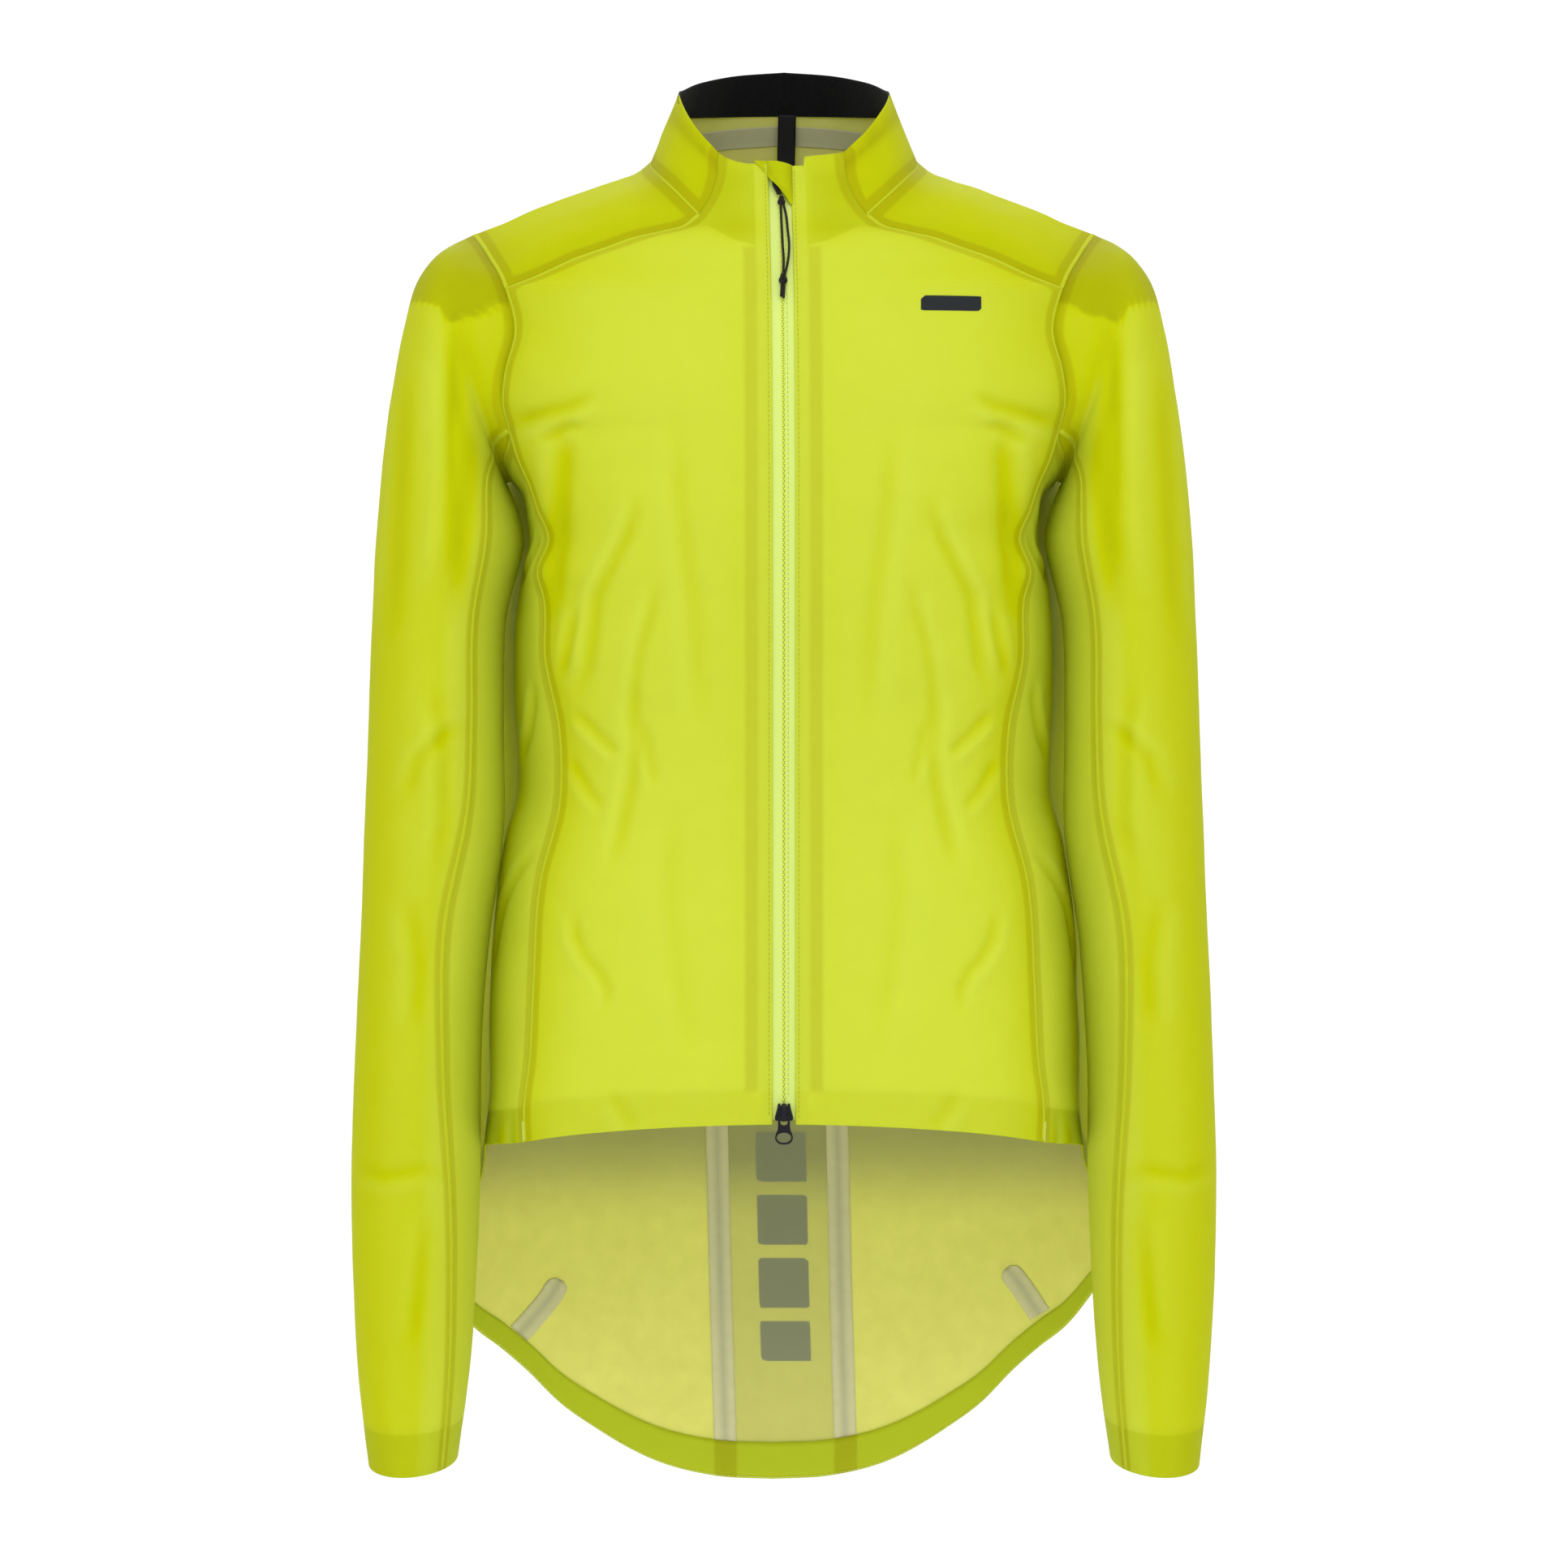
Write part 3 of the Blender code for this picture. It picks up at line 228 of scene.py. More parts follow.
def torso(station, drop, front_seam=None, flank=None):
    """Points (x, y, drop) of the torso: station 1 is the zip, 2 the front seam, 3 and 4 the side, 5 the
    side-back seam, 6 the rear corner, 7 the strip's seam and 7.5 the middle of the back."""
    station, drop = np.broadcast_arrays(np.asarray(station, float), np.asarray(drop, float))
    if front_seam is None:
        front_seam = seam_between(SIDE_SEAM, np.clip(drop, 157.5, 560), False)[..., :2]
    if flank is None:
        flank = on_curve(FLANK, np.maximum(drop, 166)) * (-1, 1)
    front_seam = np.broadcast_to(front_seam, drop.shape + (2,))
    flank = np.broadcast_to(flank, drop.shape + (2,))
    front = np.stack([0 * drop, on_curve(FRONT_Y, drop)[..., 0]], -1)
    side = np.stack([-on_curve(SIDE_X, drop)[..., 0], 0 * drop + SIDE_Y], -1)
    inner_arm = np.stack([side[..., 0] - INNER_ARM_OUT, 0 * drop + INNER_ARM_Y], -1)
    spine_y = on_curve(SPINE_Y, drop)[..., 0]
    spine = np.stack([0 * drop - STRIP_HALF, spine_y], -1)
    rear = np.stack([0.79 * flank[..., 0], flank[..., 1] + 0.74 * (spine_y - flank[..., 1])], -1)
    turned = np.array([-1, 1])
    points = np.stack([front_seam * turned, front, front_seam, side, inner_arm, flank, rear, spine,
                       spine * turned, rear * turned])
    first = np.clip(station.astype(int), 1, 7)
    before, start, end, after = (np.take_along_axis(points, (first + k)[None, ..., None], 0)[0]
                                 for k in (-1, 0, 1, 2))
    steps = (start - before, end - start, after - end)
    gaps = [np.linalg.norm(step, axis=-1, keepdims=True) for step in steps]
    rises = [step / gap for step, gap in zip(steps, gaps)]
    leave = (rises[0] * gaps[1] + rises[1] * gaps[0]) / (gaps[0] + gaps[1])
    arrive = (rises[1] * gaps[2] + rises[2] * gaps[1]) / (gaps[1] + gaps[2])
    t = (station - first)[..., None]
    flat = ((1 + 2 * t) * (1 - t) ** 2 * start + t * (1 - t) ** 2 * gaps[1] * leave
            + t ** 2 * (3 - 2 * t) * end - t ** 2 * (1 - t) * gaps[1] * arrive)
    return np.concatenate([flat, drop[..., None]], -1)


def swayed(points):
    """Points of the front and the back, moved sideways as the zip and the tail's strip hang."""
    width, depth, drop = np.moveaxis(points, -1, 0)
    front = np.interp(drop, *zip(*ZIP_SWAY)) * np.interp(np.abs(width), SWAY_FADES, (1, 0))
    back = np.interp(drop, *zip(*TAIL_LEAN)) * np.interp(np.abs(width), LEAN_FADES, (1, 0))
    return points + np.stack([np.where(depth < 0, front, back), 0 * drop, 0 * drop], -1)


def mirrored(points):
    return points * (-1, 1, 1)


FRONT_SEAM_PARTS = [collar_seam(np.linspace(0, 1, 18))[:0:-1], yoke_seam(np.linspace(0, 1, 46))[:-1],
                    armhole(np.linspace(50, 115, 40)),
                    seam_between(SIDE_SEAM, np.linspace(157.5, 560, 170)[1:], False)]


def front_points(side):
    """Level rows of points from the zip to the seams, bent at the top edge and at the hem."""
    seam = np.concatenate(FRONT_SEAM_PARTS)
    drop = seam[:, 2]
    near_zip = np.array([7, 7.5, 8.2, 9, 10.5, 12, 13.6, 14.3, 15.5, 17.5, 19.5, 21.8])
    shares = np.linspace(0, 1, 58)[1:]
    station = np.stack([[*(near_zip / width), *(near_zip[-1] / width + shares * (1 - near_zip[-1] / width))]
                        for width in -seam[:, 0]])
    at_top = np.interp(station[0] * -seam[0, 0], *zip(*TOP_EDGE[side]))
    rise = np.clip(1 - (drop - drop[0]) / 30, 0, 1)[:, None]
    fall = np.clip(1 - (drop[-1] - drop) / 130, 0, 1)[:, None]
    hem = FRONT_HEM + (drop[-1] - FRONT_HEM) * station ** 2
    level = drop[:, None] + rise * (at_top - drop[0]) + fall * (hem - drop[-1])
    grid = torso(1 + station, level, seam[:, None, :2])
    grid[:, :len(near_zip), 0] = -near_zip
    return grid if side == "right" else mirrored(grid)


def outward(grid, closed=False):
    """Unit normals (x, y, drop) that point out of the garment."""
    along = np.gradient(grid, axis=0)
    across = (np.roll(grid, -1, 1) - np.roll(grid, 1, 1)) if closed else np.gradient(grid, axis=1)
    normal = np.cross(along, across)
    normal /= np.linalg.norm(normal, axis=-1, keepdims=True) + 1e-12
    if closed:
        middle = grid.mean(axis=1, keepdims=True)
    else:
        middle = np.stack([0 * grid[..., 2], 0 * grid[..., 2], np.maximum(grid[..., 2], 150)], -1)
    return normal * np.sign(((grid - middle) * normal).sum())


def distance_to(grid, lines):
    """Distance of each point to the nearest of some lines, whose points are about a millimetre apart."""
    marks = np.concatenate(lines)
    tree = kdtree.KDTree(len(marks))
    for i, mark in enumerate(marks):
        tree.insert(mark, i)
    tree.balance()
    return np.array([tree.find(point)[2] for point in grid.reshape(-1, 3)]).reshape(grid.shape[:2])


def finely(points):
    """A line with a point for each millimetre."""
    steps = np.linalg.norm(np.diff(points, axis=0), axis=1)
    far = np.concatenate([[0], np.cumsum(steps)])
    at = np.linspace(0, far[-1], int(far[-1]) + 2)
    return np.stack([np.interp(at, far, points[:, k]) for k in range(3)], -1)


def in_box(across, down, first, last, top, bottom):
    """Signed distance to the edge of a box, less than 0 inside it."""
    return np.maximum(np.maximum(first - across, across - last), np.maximum(top - down, down - bottom))


def creased(across, down, creases):
    """How far soft creases move each point outwards, and how much they deepen its colour as painted shade.
    Each crease is a groove along its line, with painted shade, and a low ridge on one side, with painted
    light, and fades out at both ends."""
    out, deeper = 0 * across, 0 * across
    for depth, half_width, shade, line in creases:
        line = np.array(line, float)
        lengths = np.linalg.norm(np.diff(line, axis=0), axis=1)
        starts = np.concatenate([[0], np.cumsum(lengths)])
        nearest = np.full(across.shape, 1e9)
        share, left = 0 * across, 0 * across
        for start, end, length, begun in zip(line[:-1], line[1:], lengths, starts):
            way = (end - start) / length
            off_x, off_y = across - start[0], down - start[1]
            t = np.clip(off_x * way[0] + off_y * way[1], 0, length)
            gap = np.hypot(off_x - t * way[0], off_y - t * way[1])
            closer = gap < nearest
            nearest = np.where(closer, gap, nearest)
            share = np.where(closer, (begun + t) / starts[-1], share)
            left = np.where(closer, np.sign(off_x * way[1] - off_y * way[0]), left)
        fade = np.clip(1.6 * np.sin(np.pi * share), 0, 1)
        groove = np.exp(-(nearest / half_width) ** 2) * fade
        ridge = np.exp(-((nearest - 2 * half_width) / half_width) ** 2) * fade * (left > 0)
        out += depth * (0.6 * ridge - groove)
        deeper += shade * (groove - 0.6 * ridge)
    return out, deeper


def rippled(grid, height, length):
    """Low, wide, uneven ripples, as cloth has that holds its own shape."""
    flat = grid.reshape(-1, 3) / length
    return height * np.array([noise.noise(Vector(point)) for point in flat]).reshape(grid.shape[:2])


def blotches(across, down, rows):
    """Sum of soft oval patches, from rows of (across, down, half width, half height, amount)."""
    total = 0 * across
    for x, y, wide, high, amount in rows:
        total += amount * np.exp(-((across - x) / wide) ** 2 - ((down - y) / high) ** 2)
    return total


def eased(low, high, values):
    """0 below low and 1 above high, with a smooth rise between."""
    t = np.clip((values - low) / (high - low), 0, 1)
    return t * t * (3 - 2 * t)


FOLD = 0.38  # radius of a folded edge, at the middle of the cloth


def turned_in(grid, normals, fields, reach, columns=False):
    """The cloth with an edge folded inwards and laid back inside: its last row or, with columns, its first
    column. The reach of what is laid back is one number, or one for each point of the edge."""
    fields = {name: np.broadcast_to(values, grid.shape[:2]) for name, values in fields.items()}
    if columns:
        grid, normals = (values.swapaxes(0, 1)[::-1] for values in (grid, normals))
        fields = {name: values.T[::-1] for name, values in fields.items()}
    steps = np.linalg.norm(np.diff(grid[::-1], axis=0), axis=-1).mean(axis=1)
    far = np.concatenate([[0], np.cumsum(steps)])
    share = np.linspace(0, 1, 7)[:, None]
    laid = -1 - np.searchsorted(far, share * np.broadcast_to(reach, grid.shape[1]))
    along = np.arange(grid.shape[1])
    way = grid[-1] - grid[-2]
    way /= np.linalg.norm(way, axis=-1, keepdims=True)
    bend = [grid[-1] + FOLD * (math.sin(turn) * way - (1 - math.cos(turn)) * normals[-1])
            for turn in np.radians((40, 90, 140))]
    source = np.concatenate([np.full((len(bend), len(along)), -1), laid])
    grid = np.concatenate([grid, bend, grid[laid, along] - 2 * FOLD * normals[laid, along]])
    normals = np.concatenate([normals, normals[source, along]])
    fields = {name: np.concatenate([values, values[source, along]]) for name, values in fields.items()}
    if columns:
        grid, normals = (values[::-1].swapaxes(0, 1) for values in (grid, normals))
        fields = {name: values[::-1].T for name, values in fields.items()}
    return grid, normals, fields


cuts = {}


def cut_size(grid, closed):
    """Width, length and area of the cloth laid flat, in metres. It doesn't stretch, so this is along it."""
    along = np.diff(grid, axis=0)
    across = np.diff(np.concatenate([grid, grid[:, :1]], axis=1) if closed else grid, axis=1)
    area = np.linalg.norm(np.cross(along[:, :across.shape[1]], across[:-1]), axis=-1).sum()
    sizes = [np.linalg.norm(steps, axis=-1).sum(axis=axis).max() for steps, axis in ((across, 1), (along, 0))]
    return sizes[0] * MM, sizes[1] * MM, area * MM * MM


def cloth_mesh(name, grid, finishes, thick=CLOTH, closed=False, fields=None):
    """Cloth with its middle on the grid. The first finish is its outer face's, the second its inner face's.
    Fields are values for the finishes to read, each for the whole cloth or for each point."""
    cuts[name] = cut_size(grid, closed)
    normals = outward(grid, closed)
    world = (grid + normals * thick / 2) * (MM, MM, -MM)
    facing_out = normals * (1, 1, -1)
    rows, columns = grid.shape[:2]
    next_column = (np.arange(columns) + 1) % columns
    across = np.arange(columns if closed else columns - 1)
    corner = (np.arange(rows - 1)[:, None] * columns + across[None]).ravel()
    beside = (np.arange(rows - 1)[:, None] * columns + next_column[across][None]).ravel()
    faces = np.stack([corner, beside, beside + columns, corner + columns], -1)
    flat = world.reshape(-1, 3)
    turn = np.cross(flat[faces[:, 2]] - flat[faces[:, 0]], flat[faces[:, 3]] - flat[faces[:, 1]])
    solid = np.linalg.norm(turn, axis=-1) > 1e-10
    faces, turn = faces[solid], turn[solid]
    if (turn * facing_out.reshape(-1, 3)[faces[:, 0]]).sum() < 0:
        faces = faces[:, ::-1]
    mesh = bpy.data.meshes.new(name)
    mesh.from_pydata(flat.tolist(), [], faces.tolist())
    mesh.shade_smooth()
    for field, values in (fields or {}).items():
        stored = mesh.attributes.new(field, "FLOAT", "POINT")
        stored.data.foreach_set("value", np.broadcast_to(values, grid.shape[:2]).astype(np.float32).ravel())
    for finish in finishes:
        mesh.materials.append(finish)
    piece = bpy.data.objects.new(name, mesh)
    scene.collection.objects.link(piece)
    wall = piece.modifiers.new("thickness", "SOLIDIFY")
    wall.thickness = thick * MM
    wall.offset = -1
    wall.material_offset = len(finishes) - 1
    return piece


def belongs(piece, slot, *nodes, body="jacket"):
    """The piece moves with a body and stands for solids of the frame, which are hidden. The slot is not used.
    """
    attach(piece, body)
    if nodes:
        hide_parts(*nodes)
    return piece


def new_finish(name, constants):
    """A material with some of its shader's sockets set, its node tree and its shader."""
    made = bpy.data.materials.new(name)
    made.use_nodes = True
    surface = made.node_tree.nodes["Principled BSDF"]
    for socket, value in constants.items():
        surface.inputs[socket].default_value = value
    return made, made.node_tree, surface


# Nylon face with a waterproof film, woven and coated: smooth and matt. Its colour is deeper where more cloth
# or tape lies behind it, and where the tone field says so, which holds much painted shade and painted light.
# Threads are 0.2 mm apart, too fine to show, so the grain is drawn at 0.9 mm.
GRAIN = 0.9
MIXED = {"data_type": "RGBA", "clamp_factor": True}
# field, softness of its edge in millimetres, how its colour is laid on, the colour
SHOWN = [("doubled", 0.8, "MULTIPLY", "F3F4BC"), ("lined", 1.8, "MULTIPLY", "F5F2D8"),
         ("taped", 1.2, "MULTIPLY", "F0EABE"), ("printed", 0.25, "MIX", "33373A")]
coated_nylon, tree, surface = new_finish(
    "coated_nylon_neon_yellow", {"Roughness": 0.6, "Specular IOR Level": 0.06})
place = node(tree, "ShaderNodeTexCoord").outputs["Object"]
cloudy = node(tree, "ShaderNodeTexNoise", None,
              {"Vector": place, "Scale": 1 / (14 * MM), "Detail": 4.0, "Roughness": 0.6})
tone = node(tree, "ShaderNodeAttribute", {"attribute_name": "tone"})
tone = node(tree, "ShaderNodeMath", {"operation": "MULTIPLY_ADD"},
            {0: cloudy.outputs["Fac"], 1: 0.22, 2: tone.outputs["Fac"]})
tone = node(tree, "ShaderNodeMath", {"operation": "SUBTRACT"}, {0: tone.outputs[0], 1: 0.11})
deeper = node(tree, "ShaderNodeMath", {"operation": "SUBTRACT"}, {0: tone.outputs[0], 1: 1.0})
colour = linear("D9E548")
for share, next_colour in ((tone, "D0D800"), (deeper, "BFC200")):
    mixed = node(tree, "ShaderNodeMix", MIXED, {0: share.outputs[0], 6: colour, 7: linear(next_colour)})
    colour = mixed.outputs[2]
for field, soft, how, next_colour in SHOWN:
    gap = node(tree, "ShaderNodeAttribute", {"attribute_name": field})
    inside = node(tree, "ShaderNodeMapRange", {"interpolation_type": "SMOOTHSTEP"},
                  {"Value": gap.outputs["Fac"], "From Min": soft, "From Max": -soft})
    mixed = node(tree, "ShaderNodeMix", {**MIXED, "blend_type": how},
                 {0: inside.outputs["Result"], 6: colour, 7: linear(next_colour)})
    colour = mixed.outputs[2]
tree.links.new(colour, surface.inputs["Base Color"])
weave = node(tree, "ShaderNodeTexNoise", None, {"Vector": place, "Scale": 1 / (GRAIN * MM), "Detail": 2.0})
wrinkle = node(tree, "ShaderNodeTexNoise", None, {"Vector": place, "Scale": 1 / (9 * MM), "Detail": 3.0})
height = node(tree, "ShaderNodeMath", {"operation": "MULTIPLY_ADD"},
              {0: wrinkle.outputs["Fac"], 1: 3.0, 2: weave.outputs["Fac"]})
bump = node(tree, "ShaderNodeBump", None,
            {"Strength": 0.35, "Distance": 0.12 * MM, "Height": height.outputs[0]})
tree.links.new(bump.outputs["Normal"], surface.inputs["Normal"])
through = node(tree, "ShaderNodeBsdfTranslucent", None, {"Color": colour})
both = node(tree, "ShaderNodeMixShader", None, {0: 0.42, 1: surface.outputs[0], 2: through.outputs[0]})
tree.links.new(both.outputs[0], tree.nodes["Material Output"].inputs["Surface"])

# The same cloth's inner face: the film's pale grey print over the yellow, dull and slightly uneven. The field
# called
# shaded greys it with painted shade: in the neck, all over the back's middle strip, and on the tail where the
# front hem keeps the light from it.
film_inside, tree, surface = new_finish("film_inside_pale_khaki", {"Roughness": 0.6})
place = node(tree, "ShaderNodeTexCoord").outputs["Object"]
cloudy = node(tree, "ShaderNodeTexNoise", None, {"Vector": place, "Scale": 1 / (11 * MM), "Detail": 5.0})
shaded = node(tree, "ShaderNodeAttribute", {"attribute_name": "shaded"})
gap = node(tree, "ShaderNodeAttribute", {"attribute_name": "printed"})
inside = node(tree, "ShaderNodeMapRange", {"interpolation_type": "SMOOTHSTEP"},
              {"Value": gap.outputs["Fac"], "From Min": 0.25, "From Max": -0.25})
colour = linear("E0DC78")
for share, next_colour in ((cloudy.outputs["Fac"], "EEEA8A"), (shaded.outputs["Fac"], "A3A274"),
                           (inside.outputs["Result"], "A0A47E")):
    mixed = node(tree, "ShaderNodeMix", MIXED, {0: share, 6: colour, 7: linear(next_colour)})
    colour = mixed.outputs[2]
tree.links.new(colour, surface.inputs["Base Color"])
weave = node(tree, "ShaderNodeTexNoise", None, {"Vector": place, "Scale": 1 / (GRAIN * MM), "Detail": 2.0})
bump = node(tree, "ShaderNodeBump", None,
            {"Strength": 0.3, "Distance": 0.1 * MM, "Height": weave.outputs["Fac"]})
tree.links.new(bump.outputs["Normal"], surface.inputs["Normal"])
through = node(tree, "ShaderNodeBsdfTranslucent", None, {"Color": colour})
both = node(tree, "ShaderNodeMixShader", None, {0: 0.4, 1: surface.outputs[0], 2: through.outputs[0]})
tree.links.new(both.outputs[0], tree.nodes["Material Output"].inputs["Surface"])

# depth, half width, painted shade in the groove, line of (half width, drop)
FRONT_CREASES = [
    (2.0, 3.6, 0.55, [(83, 192), (83, 206), (88, 220), (96, 235), (105, 253), (107, 270), (110, 293),
                      (117, 311)]),
    (1.6, 3.2, 0.4, [(71, 245), (74, 262), (80, 282), (83, 299), (84, 322)]),
    (1.3, 3.0, 0.4, [(116, 258), (121, 280), (126, 300)]),
    (1.7, 4.0, 0.5, [(156, 151), (148, 152), (133, 148), (119, 145), (105, 138)]),
    (1.2, 3.0, 0.4, [(140, 164), (131, 161), (122, 156), (112, 157)]),
    (2.2, 6.0, 0.6, [(125, 150), (124, 172), (126, 200), (129, 240), (131, 268)]),
    (1.8, 4.0, 0.5, [(86, 300), (83, 339), (86, 360), (92, 389), (97, 408)]),
    (1.5, 3.0, 0.45, [(118, 316), (104, 331), (91, 343)]),
    (1.3, 3.0, 0.4, [(121, 342), (116, 352), (110, 362), (100, 373)]),
    (1.2, 3.0, 0.35, [(79, 322), (76, 340), (72, 360)]),
    (1.5, 3.2, 0.45, [(118, 428), (117, 445), (111, 456), (104, 464), (99, 473), (99, 487)]),
    (1.2, 4.0, 0.3, [(98, 530), (90, 541), (82, 552)]),
    (1.2, 5.0, 0.3, [(60, 150), (58, 200), (50, 260), (46, 330)]),
    (1.0, 6.0, 0.25, [(60, 370), (64, 420), (58, 470), (50, 510)]),
]
# patches of painted shade and painted light: half width, drop, half width and half height of the patch, how
# much deeper or, below 0, paler it is
FRONT_SHADING_PATCHES = [(130, 190, 26, 60, 0.25), (128, 270, 20, 60, 0.2), (122, 110, 40, 30, 0.1),
               (133, 90, 18, 40, 0.2), (100, 70, 50, 9, 0.25), (120, 360, 18, 60, 0.2),
               (135, 470, 14, 90, 0.15), (60, 440, 45, 110, -0.12), (70, 130, 40, 50, -0.08),
               (26, 300, 6, 260, 0.1), (24, 44, 16, 9, 0.5), (30, 22, 14, 16, 0.3)]

front_cloth, front_edges = {}, {}
for side, turned in SIDES:
    grid = front_points(side)
    seam_gap = distance_to(grid, [finely(part * (-turned, 1, 1)) for part in FRONT_SEAM_PARTS])
    normals = outward(grid)
    half, drop = np.abs(grid[..., 0]), grid[..., 2]
    out, deeper = creased(half, drop, FRONT_CREASES)
    out += rippled(grid, 1.6, 55) + rippled(grid, 0.5, 17)
    out *= eased(2, 16, seam_gap) * eased(13, 30, half)
    # Painted shade: deeper where the cloth turns sideways, in the patches and in the creases' grooves, with
    # painted light on their ridges and in the pale patches. The colour is also deeper near the seams.
    tone = (0.15 + 0.35 * np.exp(-(seam_gap / 17) ** 2) + 0.25 * (1 - normals[..., 1] ** 2)
            + blotches(half, drop, FRONT_SHADING_PATCHES) + deeper)
    placket = in_box(half, drop, *PLACKET, *PLACKET_DROPS)
    facing = np.maximum(PLACKET[0] - half, drop - np.interp(half, *zip(*FACING_LOW)))
    turn_up = (grid[-1:, :, 2] - FRONT_TURN_UP) - drop
    tone = tone + 0.2 * eased(1.0, -1.0, turn_up)
    bar = in_box(grid[..., 0], drop, *CHEST_BAR) - BAR_ROUNDING
    fields = {**PLAIN, "tone": tone, "taped": seam_gap - TAPE_HALF, "lined": placket, "doubled": facing}
    if side == "left":
        fields["printed"] = bar
    grid = swayed(grid + normals * out[..., None])
    front_edges[side] = (grid[:, -1], normals[:, -1])
    front_cloth[side] = grid
    grid, normals, fields = turned_in(grid, normals, fields, ZIP_FOLD, columns=True)
    reach = FRONT_TURN_UP * np.clip(eased(13, 17, np.abs(grid[-1, :, 0])), 0.1, 1)
    grid, normals, fields = turned_in(grid, normals, fields, reach)
    piece = cloth_mesh(f"front_{side}_cloth", grid, (coated_nylon, film_inside), fields=fields)
    belongs(piece, "coated_cloth", "front_" + side)


# Sides. Narrow panels of the same cloth from the underarm to the hem, sewn between front and back. A short
# elastic inside the hem draws it into small upright gathers, held by a pale bar of stitches at the seam.

def tail_drop(x):
    """Drop of the tail's hem where it crosses x."""
    return on_curve(TAIL_HEM, np.abs(x + TAIL_SHIFT))[..., 0]


def hem_drops(station, side):
    """Drops of the tail's hem at these stations. The hem isn't the same on both sides."""
    turned = 1 if side == "right" else -1
    hem = np.full(len(station), 700.0)
    for _ in range(8):
        hem = tail_drop(turned * torso(station, hem)[..., 0])
    return hem


TAIL_SHIFT = 8.0
# half width from the tail's own middle, drop of its hem
TAIL_HEM = [(0, 774), (34, 772), (74, 761), (104, 744), (127, 727), (145, 708), (161, 693), (177, 679),
            (191, 660), (204, 640)]
SIDE_TURNS = (115, 131, 147, 162, 178, 194, 210, 225)
GATHER_PITCH = 2.6


def side_points(side):
    share = np.linspace(0, 1, 84)
    station = np.interp(share, (0, 0.36, 0.58, 1), (2, 3, 4, 5))
    top = armhole(np.interp(share, np.linspace(0, 1, len(SIDE_TURNS)), SIDE_TURNS))
    hem = np.interp(share, (0, 0.4, 1), (560, 566, hem_drops(np.array([5.0]), side)[0]))
    hem -= 14 * np.sin(math.pi * np.clip((share - 0.4) / 0.6, 0, 1))
    drop = top[:, 2] + np.linspace(0, 1, 190)[:, None] * (hem - top[:, 2])
    grid = torso(station + 0 * drop, drop)
    fade = np.clip(1 - (drop - top[:, 2]) / 45, 0, 1)[..., None] ** 2
    grid[..., :2] += fade * (top[:, :2] - grid[0, :, :2])
    return grid if side == "right" else mirrored(grid)


SIDE_CREASES = [(1.6, 4.0, 0.3, [(-66, 214), (-50, 232), (-30, 240), (-12, 232)]),
                (1.6, 4.0, 0.3, [(-60, 300), (-44, 330), (-28, 345)]),
                (1.3, 4.0, 0.3, [(-70, 395), (-52, 410), (-34, 430), (-20, 470)])]
side_edges = {}
for side in ("right", "left"):
    grid = side_points(side)
    normals = outward(grid)
    depth, drop = grid[..., 1], grid[..., 2]
    edges = [finely(grid[:, 0]), finely(grid[:, -1]), finely(grid[0])]
    seam_gap = distance_to(grid, edges)
    out, deeper = creased(depth, drop, SIDE_CREASES)
    above_hem = grid[-1:, :, 2] - drop
    gathered = np.exp(-(above_hem / 13) ** 2) * eased(-92, -80, depth) * eased(-26, -40, depth)
    girth = np.concatenate([[0], np.cumsum(np.linalg.norm(np.diff(grid[-1], axis=0), axis=1))])
    out = (out + rippled(grid, 1.4, 50)) * eased(2, 14, seam_gap)
    out += 0.7 * gathered * np.sin(2 * math.pi * girth / GATHER_PITCH)[None]
    # Painted shade: deeper towards the back, in the hollow between sleeve and body, at the underarm tip and
    # in the creases' grooves; the gathers get painted shade and painted highlights in turn.
    shade = eased(-50, -20, depth) * eased(185, 205, drop)
    tip = np.exp(-(distance_to(grid, [grid[:1, 0]]) / 16) ** 2)
    tone = 0.1 + 0.2 * eased(-80, -50, depth) + 0.8 * shade + 0.6 * tip + deeper
    tone += gathered * (0.2 + 0.7 * np.sin(2 * math.pi * girth / GATHER_PITCH))[None]
    fields = {**PLAIN, "tone": tone, "taped": seam_gap - TAPE_HALF, "doubled": above_hem - FRONT_TURN_UP}
    grid = swayed(grid + normals * out[..., None])
    side_edges[side] = [(grid[:, -1], normals[:, -1]), (grid[0], normals[0])]
    grid, normals, fields = turned_in(grid, normals, fields, FRONT_TURN_UP)
    piece = cloth_mesh(f"side_{side}_cloth", grid, (coated_nylon, film_inside), fields=fields)
    belongs(piece, "coated_cloth", "side_" + side)


# Back. Two sides and a middle strip that runs down into the long tail, sewn and taped, with two taped darts
# that shape the tail. Plain reflective bars are printed down the strip, and show inside as darker ones.

BACK_TOP = 88.0
BACK_TURNS = np.linspace(300, 225, 38)
BACK_STATIONS = np.linspace(5, 7, 60)
STRIP_STATIONS = np.linspace(7, 7.5, 16)
HEM_BAND = 15.5
SEAM_TAPE = 13.5
# x, drop along the middle of each taped dart beside the tail's hem
DARTS = {"right": [(-133.9, 654.5), (-140.5, 665.5), (-149, 675.8), (-158.5, 686)],
         "left": [(133.4, 647.4), (143.5, 660.5), (152.9, 674.6)]}
# x of the printed bars' middle, then top and bottom drops and half width of each
BARS_MIDDLE = 2
BARS = [(566, 596, 15), (604, 634, 15), (642, 672, 15), (680, 704, 15)]


